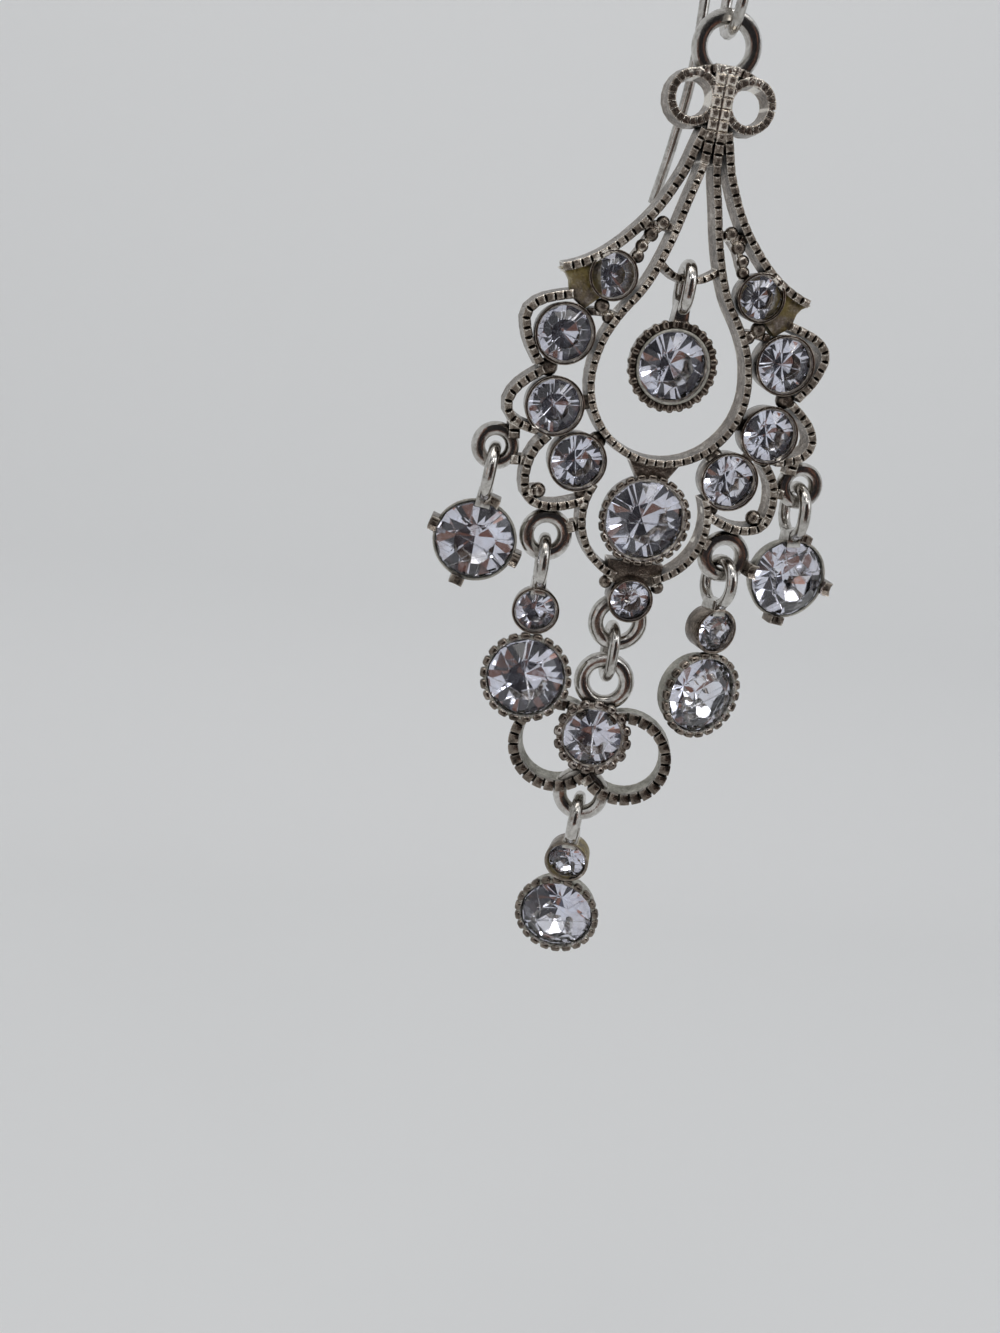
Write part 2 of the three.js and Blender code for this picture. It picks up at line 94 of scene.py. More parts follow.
# Finishes
class NodeSheet:
    """A material's node tree, with short ways to add and join nodes."""

    def __init__(self, name: str) -> None:
        """Starts an empty material.

        Args:
            name: The material's name.
        """
        self.material = bpy.data.materials.new(name)
        self.material.use_nodes = True
        self.tree = self.material.node_tree

    def plug(self, node: bpy.types.Node, inputs: dict[str | int, object]) -> None:
        """Sets or joins a node's inputs.

        Args:
            node: The node.
            inputs: Socket names or numbers, each with a value or with the socket that feeds it.
        """
        for key, value in inputs.items():
            if isinstance(value, Socket):
                self.tree.links.new(value, node.inputs[key])
            else:
                node.inputs[key].default_value = value

    def add(self, kind: str, inputs: dict[str | int, object], output: str | int, **settings: object) -> Socket:
        """Adds a node.

        Args:
            kind: The node's type.
            inputs: Its inputs, as for plug.
            output: The name or number of the output that is wanted.
            settings: The node's own properties.

        Returns:
            The output.
        """
        node = self.tree.nodes.new(kind)
        for key, value in settings.items():
            setattr(node, key, value)
        self.plug(node, inputs)
        return node.outputs[output]

    def finish(self, inputs: dict[str, object]) -> Material:
        """Sets or joins the shader's inputs and gives the material."""
        self.plug(self.tree.nodes["Principled BSDF"], inputs)
        return self.material

    def noise(self, scale: float, detail: float, roughness: float = 0.6) -> Socket:
        """Cloudy noise from 0 to 1, fixed to the object.

        Args:
            scale: How many waves there are in a millimetre.
            detail: How many finer layers it has.
            roughness: How strong the finer layers are.

        Returns:
            The noise's value.
        """
        place = self.add("ShaderNodeTexCoord", {}, "Object")
        place = self.add("ShaderNodeMapping", {"Vector": place, "Scale": (1 / MM, 1 / MM, 1 / MM)}, "Vector")
        inputs = {"Vector": place, "Scale": scale, "Detail": detail, "Roughness": roughness}
        return self.add("ShaderNodeTexNoise", inputs, "Fac")

    def hidden(self, reach: float, inside: bool) -> Socket:
        """How open a surface is within a reach in millimetres, or how thick with inside."""
        return self.add("ShaderNodeAmbientOcclusion", {"Distance": reach * MM}, "AO", samples=8, only_local=True,
                        inside=inside)

    def spread(self, source: Socket, low: float, high: float, to_low: float, to_high: float) -> Socket:
        """Maps a value from one range to another and holds it there."""
        inputs = {"Value": source, "From Min": low, "From Max": high, "To Min": to_low, "To Max": to_high}
        return self.add("ShaderNodeMapRange", inputs, "Result")

    def math(self, operation: str, a: object, b: object) -> Socket:
        """One operation on two values."""
        return self.add("ShaderNodeMath", {0: a, 1: b}, 0, operation=operation)

    def mix(self, factor: Socket, a: object, b: object) -> Socket:
        """Mixes two colours by a factor."""
        return self.add("ShaderNodeMix", {0: factor, 6: a, 7: b}, 2, data_type="RGBA")


@dataclass(frozen=True)
class AgedMetal:
    """Silver-tone metal: bright where worn and with painted highlights on its edges, dark in its recesses with
    patina and painted shade.
    """

    name: str
    # the colour of worn crests and of painted edge highlights
    crest: Triple
    middle: Triple
    # the colour of recesses, dark with patina and painted shade
    recess: Triple
    smooth: float  # roughness on the crests
    rough: float  # roughness in the recesses
    grain: float  # height of the casting's grain, in millimetres
    grain_scale: float = 5.0
    reach: float = 0.55  # how wide a recess darkens with patina and painted shade, in millimetres
    edge: float = 0.12  # how wide the bright wear and painted highlight on an edge is, in millimetres
    # how much a thin edge is lightened, for wear and for a painted highlight
    edge_wear_and_highlight: float = 0.55
    open_face_lift: float = 0.55  # how worn an open flat face is, and so how much lighter it is than the painted shade in a recess
    residue: Triple | None = None

    def make(self) -> Material:
        """Builds the material.

        Returns:
            The material.
        """
        sheet = NodeSheet(self.name)
        # Painted highlight: an inside occlusion finds thin convex edges and lightens them, for wear and for light
        # catching them.
        edge_rub_and_highlight = sheet.spread(sheet.hidden(self.edge, True), 0.5, 0.95, self.edge_wear_and_highlight, 0.0)
        # Painted shade: an occlusion darkens recesses, for patina and for the shade that falls in them.
        face = sheet.spread(sheet.hidden(self.reach, False), 0.35, 0.95, 0.0, self.open_face_lift)
        open_air = sheet.math("ADD", face, edge_rub_and_highlight)
        cloud = sheet.spread(sheet.noise(0.9, 5), 0.3, 0.7, -0.22, 0.22)
        speck = sheet.spread(sheet.noise(self.grain_scale, 4, 0.7), 0.35, 0.7, -0.2, 0.2)
        # The tone adds wear, patina, painted shade, painted highlights and random tone.
        tone_level = sheet.math("ADD", sheet.math("ADD", open_air, cloud), speck)
        colour = sheet.add("ShaderNodeValToRGB", {"Fac": tone_level}, "Color")
        tones = colour.node.color_ramp.elements
        tones[0].color = (*self.recess, 1)
        tones[1].color = (*self.crest, 1)
        tones[1].position = 0.98
        tones.new(0.55).color = (*self.middle, 1)
        if self.residue:
            patches = sheet.spread(sheet.noise(0.6, 4), 0.42, 0.58, 0.0, 0.8)
            stain = sheet.math("MULTIPLY", patches, sheet.spread(open_air, 0.25, 1.1, 1.0, 0.4))
            colour = sheet.mix(stain, colour, (*self.residue, 1))
        height = sheet.noise(self.grain_scale * 1.3, 3, 0.65)
        bump = {"Strength": 1.0, "Distance": self.grain * MM, "Height": height}
        return sheet.finish({
            "Base Color": colour,
            "Roughness": sheet.spread(tone_level, 0.1, 1.0, self.rough, self.smooth),
            "Normal": sheet.add("ShaderNodeBump", bump, "Normal"),
            "Metallic": 1.0,
        })


@dataclass(frozen=True)
class CutGlass:
    """Clear lead glass with a faint lavender tone and fine dust on its facets."""

    name: str = "cut_glass"
    tint: Triple = (0.95, 0.965, 1.0)
    dulled: Triple = (0.95, 0.94, 0.95)
    ior: float = 1.58

    def make(self) -> Material:
        """Builds the material.

        Returns:
            The material.
        """
        sheet = NodeSheet(self.name)
        smear = sheet.spread(sheet.noise(0.5, 3), 0.45, 0.7, 0.0, 0.3)
        return sheet.finish({
            "Base Color": sheet.mix(smear, (*self.tint, 1), (*self.dulled, 1)),
            "Roughness": sheet.spread(sheet.noise(1.6, 4), 0.35, 0.75, 0.015, 0.06),
            "Transmission Weight": 1.0,
            "IOR": self.ior,
        })


@dataclass(frozen=True)
class Foil:
    """The mirror coat on a stone's back."""

    name: str = "stone_foil"
    silver: Triple = (0.94, 0.95, 1.0)
    worn: Triple = (0.86, 0.84, 0.86)

    def make(self) -> Material:
        """Builds the material.

        Returns:
            The material.
        """
        sheet = NodeSheet(self.name)
        tone_level = sheet.spread(sheet.noise(0.8, 4), 0.4, 0.7, 0.0, 1.0)
        return sheet.finish({
            "Base Color": sheet.mix(tone_level, (*self.silver, 1), (*self.worn, 1)),
            "Roughness": sheet.spread(sheet.noise(2.5, 3), 0.4, 0.7, 0.03, 0.1),
            "Metallic": 1.0,
        })


@dataclass(frozen=True)
class Palette:
    """Every finish of the earring, made once."""

    cast: Material
    wing: Material
    cup: Material
    bead: Material
    polished: Material
    pale: Material
    glass: Material
    foil: Material

    @classmethod
    def mixed(cls) -> "Palette":
        """Makes the finishes.

        Returns:
            The palette.
        """
        warm = {"crest": (0.82, 0.77, 0.69), "middle": (0.28, 0.236, 0.196), "recess": (0.022, 0.018, 0.015)}
        return cls(
            cast=AgedMetal("antiqued_casting", **warm, smooth=0.1, rough=0.36, grain=0.045, grain_scale=4.0,
                           reach=0.4, edge_wear_and_highlight=0.7, open_face_lift=0.46).make(),
            wing=AgedMetal("stained_casting", **warm, smooth=0.22, rough=0.55, grain=0.05,
                           residue=(0.34, 0.27, 0.09)).make(),
            cup=AgedMetal("dark_cup", **warm, smooth=0.07, rough=0.28, grain=0.035, grain_scale=2.2,
                          edge_wear_and_highlight=0.35, open_face_lift=0.38).make(),
            bead=AgedMetal("dark_bead", (0.8, 0.75, 0.68), (0.17, 0.14, 0.12), (0.02, 0.016, 0.014), smooth=0.05,
                           rough=0.22, grain=0.03, grain_scale=2.0, edge_wear_and_highlight=0.2, open_face_lift=0.6).make(),
            polished=AgedMetal("polished_silver_tone", (0.66, 0.64, 0.61), (0.34, 0.32, 0.29),
                               (0.03, 0.026, 0.024), smooth=0.1, rough=0.32, grain=0.008, grain_scale=3.0,
                               edge_wear_and_highlight=0.1, open_face_lift=0.85).make(),
            pale=AgedMetal("pale_casting", (0.60, 0.58, 0.52), (0.30, 0.29, 0.25), (0.06, 0.055, 0.045),
                           smooth=0.38, rough=0.6, grain=0.06, grain_scale=6.0, edge_wear_and_highlight=0.3, open_face_lift=0.7).make(),
            glass=CutGlass().make(),
            foil=Foil().make(),
        )


# The bench
class Bench:
    """Blender's operators, used on one object at a time."""

    @staticmethod
    def take(*objects: Obj) -> None:
        """Selects objects and nothing else.

        Args:
            objects: The objects; the first becomes the active one.
        """
        bpy.ops.object.select_all(action="DESELECT")
        for obj in objects:
            obj.select_set(True)
        bpy.context.view_layer.objects.active = objects[0]

    @staticmethod
    def fresh() -> Obj:
        """Puts the place and size of the object just added into its mesh.

        Returns:
            The object.
        """
        obj = bpy.context.active_object
        Bench.take(obj)
        bpy.ops.object.transform_apply(location=True, rotation=True, scale=True)
        return obj

    @staticmethod
    def move(obj: Obj, matrix: Matrix) -> Obj:
        """Moves an object and puts its place into its mesh.

        Args:
            obj: The object.
            matrix: The move.

        Returns:
            The same object.
        """
        obj.matrix_world = matrix @ obj.matrix_world
        Bench.take(obj)
        bpy.ops.object.transform_apply(location=True, rotation=True, scale=True)
        return obj

    @staticmethod
    @contextlib.contextmanager
    def editing(obj: Obj) -> Iterator[None]:
        """Edit mode with nothing selected, for the length of a with block.

        Args:
            obj: The object to edit.
        """
        Bench.take(obj)
        bpy.ops.object.mode_set(mode="EDIT")
        bpy.ops.mesh.select_all(action="DESELECT")
        yield
        bpy.ops.object.mode_set(mode="OBJECT")

    @staticmethod
    def pick(obj: Obj, faces: Test | None = None, edges: Test | None = None, verts: Test | None = None) -> None:
        """Selects, in edit mode, the elements that pass a test, and nothing else.

        Args:
            obj: The object in edit mode.
            faces: The test for faces.
            edges: The test for edges, when faces is None.
            verts: The test for vertices, when both others are None.
        """
        bpy.ops.mesh.select_mode(type="FACE" if faces else "EDGE" if edges else "VERT")
        bpy.ops.mesh.select_all(action="DESELECT")
        mesh = bmesh.from_edit_mesh(obj.data)
        items, test = (mesh.faces, faces) if faces else (mesh.edges, edges) if edges else (mesh.verts, verts)
        for item in [i for i in items if test(i)]:
            item.select_set(True)
        bmesh.update_edit_mesh(obj.data)

    @staticmethod
    def scale(value: Triple, centre: Triple) -> None:
        """Scales what is selected in edit mode, about a centre."""
        bpy.ops.transform.resize(value=value, center_override=centre)

    @staticmethod
    def bevel(offset: float, segments: int, affect: str = "EDGES") -> None:
        """Rounds what is selected in edit mode."""
        bpy.ops.mesh.bevel(offset=offset, segments=segments, affect=affect)

    @staticmethod
    def extrude(height: float) -> None:
        """Draws what is selected in edit mode out along z."""
        bpy.ops.mesh.extrude_region_move(TRANSFORM_OT_translate={"value": (0, 0, height)})

    @staticmethod
    def modify(obj: Obj, kind: str, **settings: object) -> None:
        """Adds a modifier and applies it.

        Args:
            obj: The object.
            kind: The modifier's type.
            settings: The modifier's properties.
        """
        modifier = obj.modifiers.new(kind.title(), kind)
        for key, value in settings.items():
            setattr(modifier, key, value)
        Bench.take(obj)
        bpy.ops.object.modifier_apply(modifier=modifier.name)

    @staticmethod
    def copy(obj: Obj) -> Obj:
        """A copy with its own mesh.

        Args:
            obj: The object to copy.

        Returns:
            The copy.
        """
        Bench.take(obj)
        bpy.ops.object.duplicate(linked=False)
        return bpy.context.active_object

    @staticmethod
    def soften(obj: Obj, degrees: float = 40) -> None:
        """Smooth shading, with creases sharper than an angle kept."""
        Bench.take(obj)
        bpy.ops.object.shade_smooth_by_angle(angle=math.radians(degrees))

    @staticmethod
    def outward(obj: Obj) -> None:
        """Merges doubled vertices, closes open ends and turns every face outwards.

        Args:
            obj: The object.
        """
        with Bench.editing(obj):
            bpy.ops.mesh.select_all(action="SELECT")
            bpy.ops.mesh.remove_doubles(threshold=1e-4)
            bpy.ops.mesh.fill_holes(sides=0)
            bpy.ops.mesh.normals_make_consistent(inside=False)

    @staticmethod
    def to_mesh(curve: Obj) -> Obj:
        """Turns a curve into a closed mesh.

        Args:
            curve: The curve, with its thickness set.

        Returns:
            The mesh.
        """
        Bench.take(curve)
        bpy.ops.object.convert(target="MESH")
        mesh = bpy.context.active_object
        Bench.outward(mesh)
        return mesh

    @staticmethod
    def paint(obj: Obj, material: Material) -> Obj:
        """Gives an object one material.

        Args:
            obj: The object.
            material: Its material.

        Returns:
            The same object.
        """
        obj.data.materials.clear()
        obj.data.materials.append(material)
        return obj

    @staticmethod
    def paint_faces(obj: Obj, material: Material, test: Test) -> None:
        """Gives some faces another material.

        Args:
            obj: The object.
            material: The other material.
            test: The test that those faces pass.
        """
        obj.data.materials.append(material)
        obj.active_material_index = len(obj.data.materials) - 1
        with Bench.editing(obj):
            Bench.pick(obj, faces=test)
            bpy.ops.object.material_slot_assign()

    @staticmethod
    def draw(points: Sequence[Sequence[float]], flat: bool = True, smooth: bool = True, closed: bool = False) -> Obj:
        """Draws a curve point by point.

        Args:
            points: Where it runs.
            flat: Whether it lies flat on the bench.
            smooth: Whether it runs smoothly through its points.
            closed: Whether it joins its own start.

        Returns:
            The curve.
        """
        bpy.ops.curve.primitive_bezier_curve_add(location=(0, 0, 0))
        curve = bpy.context.active_object
        curve.data.dimensions = "2D" if flat else "3D"
        curve.data.resolution_u = 16
        bpy.ops.object.mode_set(mode="EDIT")
        bpy.ops.curve.select_all(action="SELECT")
        bpy.ops.curve.delete(type="VERT")
        for point in points:
            bpy.ops.curve.vertex_add(location=(*point, 0)[:3])
        bpy.ops.curve.select_all(action="SELECT")
        bpy.ops.curve.handle_type_set(type="AUTOMATIC" if smooth else "VECTOR")
        if closed:
            bpy.ops.curve.cyclic_toggle()
        bpy.ops.object.mode_set(mode="OBJECT")
        return curve

    @staticmethod
    def row(points: Sequence[Point], spacing: float, unit: Callable[[float], Obj], whole: bool = True) -> Obj:
        """Fills a line on the bench with units, end to end.

        Args:
            points: The line.
            spacing: About how far apart the units are.
            unit: Makes one unit, along x from 0, for the exact spacing.
            whole: Whether the units are merged into one closed body.

        Returns:
            The row.
        """
        path = Bench.draw(points)
        length = path.data.splines[0].calc_length()
        count = max(1, round(length / spacing))
        row = unit(length / count)
        Bench.modify(row, "ARRAY", count=count, use_relative_offset=False, use_constant_offset=True,
                     constant_offset_displace=(length / count, 0, 0), use_merge_vertices=whole,
                     merge_threshold=0.004)
        Bench.modify(row, "CURVE", object=path, deform_axis="POS_X")
        bpy.data.objects.remove(path)
        if whole:
            Bench.outward(row)
        return row


def arc(x: float, y: float, radius: float, start: float, end: float, count: int) -> list[Point]:
    """Points of an arc on the bench, from one angle to another, in degrees."""
    turns = [math.radians(start + (end - start) * i / count) for i in range(count + 1)]
    return [(x + radius * math.cos(turn), y + radius * math.sin(turn)) for turn in turns]


def mirrored(points: Sequence[Point], side: int) -> list[Point]:
    """The same points, on the other side of the earring when side is -1."""
    return [(x * side, y) for x, y in points]


def shift(x: float, y: float, z: float = 0.0) -> Matrix:
    """A move on the bench."""
    return Matrix.Translation((x, y, z))


# Shapes that repeat
@dataclass(frozen=True)
class Strand:
    """A cast strand whose front is a row of small cushions with a notch between each two."""

    width: float = 0.66
    front: float = 1.6
    back: float = -0.1
    pitch: float = 0.62
    notch: float = 0.2  # how far a cushion's edges are rounded off
    crest: float = 0.84  # width of the front as a share of the width of the back
    lip: float = 0.1  # how far each cushion's upper end stands up
    waist: float = 0.8  # width in a notch as a share of the full width

    def cushion(self, pitch: float) -> Obj:
        """Shapes one length of the strand, open at both ends, along x from 0.

        Args:
            pitch: Its length.

        Returns:
            The length of strand.
        """
        middle = (pitch / 2, 0, (self.front + self.back) / 2)
        size = (pitch, self.width, self.front - self.back)
        bpy.ops.mesh.primitive_cube_add(size=1, location=middle, scale=size)
        unit = Bench.fresh()
        notch = min(self.notch, pitch * 0.34, self.width * self.crest * 0.38)
        with Bench.editing(unit):
            Bench.pick(unit, faces=lambda f: f.normal.z > 0.9)
            Bench.scale((1, self.crest, 1), (pitch / 2, 0, self.front))
            bpy.ops.mesh.bevel(offset=notch, segments=3, affect="EDGES", clamp_overlap=True)
            Bench.pick(unit, verts=lambda v: v.co.z > self.front - 0.02 and v.co.x < pitch / 2)
            bpy.ops.transform.translate(value=(-notch * 0.4, 0, self.lip))
            Bench.pick(unit, verts=lambda v: v.co.z > self.back + 0.02 and min(v.co.x, pitch - v.co.x) < 1e-3)
            Bench.scale((1, self.waist, 1), (pitch / 2, 0, 0))
            Bench.pick(unit, faces=lambda f: abs(f.normal.x) > 0.95)
            bpy.ops.mesh.delete(type="ONLY_FACE")
        return unit

    def lay(self, points: Sequence[Point]) -> Obj:
        """A closed strand along points of the bench."""
        return Bench.row(points, self.pitch, self.cushion)


@dataclass(frozen=True)
class Plate:
    """A flat web of metal with a rounded edge."""

    outline: Sequence[Point]
    back: float
    front: float
    edge: float = 0.1

    def build(self) -> Obj:
        """Cuts the plate from its outline.

        Returns:
            The closed plate.
        """
        plate = Bench.draw(self.outline, smooth=False, closed=True)
        plate.data.fill_mode = "BOTH"
        plate.data.extrude = (self.front - self.back) / 2 - self.edge
        plate.data.bevel_depth = self.edge
        plate.data.bevel_resolution = 1
        plate.data.offset = -self.edge
        plate.data.resolution_u = 1
        return Bench.move(Bench.to_mesh(plate), shift(0, 0, (self.front + self.back) / 2))


@dataclass(frozen=True)
class Ring:
    """A hanging ring: a rounded bar, a little flattened where it faces the viewer."""

    x: float
    y: float
    hole: float
    bar: float
    depth: float = 1.2

    def build(self) -> Obj:
        """Shapes the ring.

        Returns:
            The ring.
        """
        bpy.ops.mesh.primitive_torus_add(
            major_segments=40, minor_segments=14, major_radius=self.hole + self.bar / 2, minor_radius=self.bar / 2,
            location=(self.x, self.y, 0),
        )
        ring = Bench.fresh()
        face = self.depth / 2
        with Bench.editing(ring):
            bpy.ops.mesh.select_all(action="SELECT")
            Bench.scale((1, 1, self.depth / self.bar), (self.x, self.y, 0))
            Bench.pick(ring, verts=lambda v: v.co.z > face * 0.55)
            Bench.scale((1, 1, 0.45), (self.x, self.y, face * 0.8))
        return ring

    def hang(self) -> float:
        """The height at which a bail's top sits in the ring."""
        return self.y - self.hole + HANG_GAP


@dataclass(frozen=True)
class CrossLoop:
    """A closed loop of bar that stands across a ring, its hole along x."""

    top: float
    bottom: float
    depth: float
    bar: float
    width: float = 0.9

    def build(self) -> Obj:
        """Turns the loop as a circle, then draws its top and bottom apart.

        Returns:
            The loop.
        """
        bpy.ops.mesh.primitive_torus_add(
            major_segments=32, minor_segments=16, major_radius=self.depth / 2, minor_radius=self.bar / 2,
            rotation=(0, math.pi / 2, 0),
        )
        loop = Bench.fresh()
        apart = (self.top - self.bottom - self.bar - self.depth) / 2
        with Bench.editing(loop):
            bpy.ops.mesh.select_all(action="SELECT")
            Bench.scale((self.width / self.bar, 1, 1), (0, 0, 0))
            for way in (1, -1):
                Bench.pick(loop, verts=lambda v: v.co.y * way > 1e-4)
                bpy.ops.transform.translate(value=(0, apart * way, 0))
            Bench.pick(loop, faces=lambda f: abs(f.calc_center_median().x) > self.width * 0.36)
            Bench.scale((0.9, 1, 1), (0, 0, 0))
        return Bench.move(loop, shift(0, (self.top + self.bottom) / 2))


@dataclass(frozen=True)
class Cup:
    """A setting: a thin wall round a seat that narrows to a hole in its back."""

    radius: float
    back: float
    rim: float
    wall: float
    seat: float = 0.45  # how deep the straight part of the seat is
    hole: float = 0.45  # the back hole as a share of the radius
    taper: float = 0.92  # the back's radius as a share of the front's
    foot: float = 0.16  # how far the back's edge is rounded

    def build(self) -> Obj:
        """Shapes the cup from a cylinder, round the bench's own centre.

        Returns:
            The closed cup.
        """
        bpy.ops.mesh.primitive_cylinder_add(
            vertices=40, radius=self.radius, depth=self.rim - self.back, location=(0, 0, (self.rim + self.back) / 2)
        )
        cup = Bench.fresh()
        with Bench.editing(cup):
            Bench.pick(cup, faces=lambda f: f.normal.z < -0.9)
            Bench.scale((self.taper, self.taper, 1), (0, 0, self.back))
            Bench.bevel(self.foot, 3)
            Bench.pick(cup, faces=lambda f: f.normal.z < -0.99)
            bpy.ops.mesh.inset(thickness=max(0.1, self.radius * (self.taper - self.hole) - self.foot))
            Bench.pick(cup, faces=lambda f: f.normal.z > 0.9)
            bpy.ops.mesh.inset(thickness=self.wall)
            Bench.extrude(-self.seat)
            hole = self.radius * self.hole + 0.1
            Bench.pick(cup, faces=lambda f: len(f.verts) > 30 and (
                f.normal.z > 0.9 or f.calc_center_median().z < self.back + 0.01
                and max(v.co.xy.length for v in f.verts) < hole))
            bpy.ops.mesh.bridge_edge_loops()
            Bench.pick(cup, edges=lambda e: all(abs(v.co.z - self.rim) < 1e-4 for v in e.verts) and abs(
                e.verts[0].co.xy.length - e.verts[1].co.xy.length) < 1e-3)
            Bench.bevel(min(0.06, self.wall * 0.35), 2)
        return cup


@dataclass(frozen=True)
class Beading:
    """A row of cushions or beads round the rim of a setting."""

    radius: float
    count: int
    along: float  # a bead's size round the rim, as a share of the pitch
    across: float
    height: float
    front: float
    roundness: float = 0.4  # how far its edges are rounded, as a share of its smallest side

    def build(self) -> Obj:
        """Shapes one bead and spins it round the setting.

        Returns:
            The beads.
        """
        length = self.along * math.tau * self.radius / self.count
        bpy.ops.mesh.primitive_cube_add(
            size=1, location=(self.radius, 0, self.front - self.height / 2), scale=(self.across, length, self.height)
        )
        beads = Bench.fresh()
        with Bench.editing(beads):
            bpy.ops.mesh.select_all(action="SELECT")
            Bench.bevel(self.roundness * min(length, self.across, self.height), 3)
            bpy.ops.mesh.select_all(action="SELECT")
            bpy.ops.mesh.spin(steps=self.count - 1, dupli=True, angle=math.tau * (self.count - 1) / self.count,
                              center=(0, 0, 0), axis=(0, 0, 1))
        return beads


def ball(x: float, y: float, z: float, radius: float) -> Obj:
    """Shapes a grain of metal, flattened a little at its front.

    Args:
        x: Its centre.
        y: Its centre.
        z: Its centre.
        radius: Its radius.

    Returns:
        The grain.
    """
    bpy.ops.mesh.primitive_uv_sphere_add(segments=14, ring_count=9, radius=radius, location=(x, y, z))
    grain = Bench.fresh()
    with Bench.editing(grain):
        Bench.pick(grain, verts=lambda v: v.co.z > z + radius * 0.7)
        Bench.scale((1, 1, 0.5), (x, y, z + radius * 0.75))
    return grain


class StoneCutter:
    """Cuts one stone of radius 1 and copies it for every setting."""

    TABLE = 0.58
    CROWN = 0.36
    GIRDLE = 0.05
    PAVILION = 0.76
    CORNER = 0.17  # how far the crown's upright edges are cut back
    SUNK = 0.32  # how far a girdle is below its setting's rim, in millimetres
    FIT = 0.995  # a stone's size as a share of its CAD solid's
    STEP = 2.4  # how much further round each stone is turned than the last, in radians
    LEAN = math.radians(2.5)  # how far a stone sits askew in its cup

    def __init__(self, palette: Palette) -> None:
        """Cuts the master stone.

        Args:
            palette: The earring's finishes.
        """
        bpy.ops.mesh.primitive_cone_add(
            vertices=8, radius1=1.05, radius2=self.TABLE, depth=self.CROWN, location=(0, 0, self.CROWN / 2)
        )
        stone = Bench.fresh()
        with Bench.editing(stone):
            Bench.pick(stone, edges=lambda e: abs(e.verts[0].co.z - e.verts[1].co.z) > 0.1)
            Bench.bevel(self.CORNER, 1)
            Bench.pick(stone, verts=lambda v: v.co.z > self.CROWN - 0.01)
            Bench.bevel(0.07, 1, "VERTICES")
            Bench.pick(stone, faces=lambda f: f.normal.z < -0.9)
            Bench.extrude(-self.GIRDLE)
            Bench.pick(stone, edges=lambda e: e.calc_length() < 0.4 and all(
                v.co.z < -self.GIRDLE + 0.01 for v in e.verts))
            bpy.ops.mesh.merge(type="COLLAPSE")
            Bench.pick(stone, faces=lambda f: f.normal.z < -0.9 and len(f.verts) > 4)
            Bench.extrude(-self.PAVILION)
            bpy.ops.mesh.merge(type="CENTER")
        Bench.paint(stone, palette.glass)
        Bench.paint_faces(stone, palette.foil, lambda f: f.normal.z < -0.3)
        self.master = stone
        self.cut = 0

    def set_in(self, glass: float, x: float, y: float, girdle: float) -> Obj:
        """Cuts the next stone, each a little turned and askew in its own way.

        Args:
            glass: The stone's radius.
            x: Its centre on the bench.
            y: Its centre on the bench.
            girdle: The height of its girdle.

        Returns:
            The stone.
        """
        self.cut += 1
        turn = self.cut * self.STEP
        lean = Euler((self.LEAN * math.sin(turn * 1.7), self.LEAN * math.cos(turn * 2.3), turn)).to_matrix()
        size = Matrix.Scale(glass * self.FIT, 4)
        return Bench.move(Bench.copy(self.master), shift(x, y, girdle) @ lean.to_4x4() @ size)


# Hanging and handing over
@dataclass(frozen=True)
class Pose:
    """How a piece hangs on the bench: its place, and its turn, swing and roll in degrees."""

    x: float = 0.0
    y: float = 0.0
    z: float = 0.0
    turn: float = 0.0
    swing: float = 0.0
    roll: float = 0.0

    def matrix(self) -> Matrix:
        """The pose on the bench: roll first, then swing, then turn.

        Returns:
            The pose as a matrix.
        """
        turns = ((self.turn, "Y"), (self.swing, "X"), (self.roll, "Z"))
        turn, swing, roll = (Matrix.Rotation(math.radians(angle), 4, axis) for angle, axis in turns)
        return shift(self.x, self.y, self.z) @ turn @ swing @ roll


class Workshop:
    """Holds what every sub-assembly needs, and hands finished pieces over to the frame."""

    def __init__(self) -> None:
        """Makes the finishes and the master stone."""
        self.palette = Palette.mixed()
        self.cutter = StoneCutter(self.palette)

    def hand_over(self, piece: Obj, name: str, node: str, slot: Slot, place: Matrix = STAND_UP,
                  body: Body = Body.CHANDELIER) -> None:
        """Puts a piece in its place and ties it to its body.

        Args:
            piece: The finished piece.
            name: Its name.
            node: The CAD node it stands for.
            slot: The material slot for its finish; not used.
            place: Where it goes, in the row frame.
            body: What it rides on.
        """
        Bench.move(piece, place)
        piece.name = piece.data.name = name
        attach(piece, body.value)
        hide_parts(node)
        log.info("%s: %d faces, stands for %s", name, len(piece.data.polygons), node)

    def cast(self, parts: Sequence[Obj], name: str, node: str, place: Matrix = STAND_UP) -> None:
        """Joins painted parts into one casting and hands it over.

        Args:
            parts: The parts.
            name: The casting's name.
            node: The CAD node it stands for.
            place: Where it goes, in the row frame.
        """
        Bench.take(*parts)
        bpy.ops.object.join()
        Bench.soften(parts[0], 42)
        self.hand_over(parts[0], name, node, Slot.CAST, place)

    def set_stone(self, stone: Obj, name: str, node: str, place: Matrix = STAND_UP) -> None:
        """Hands a stone over."""
        self.hand_over(stone, f"{name}_crystal", node, Slot.CRYSTAL, place)

    def clear(self) -> None:
        """Removes the master stone."""
        bpy.data.objects.remove(self.cutter.master)


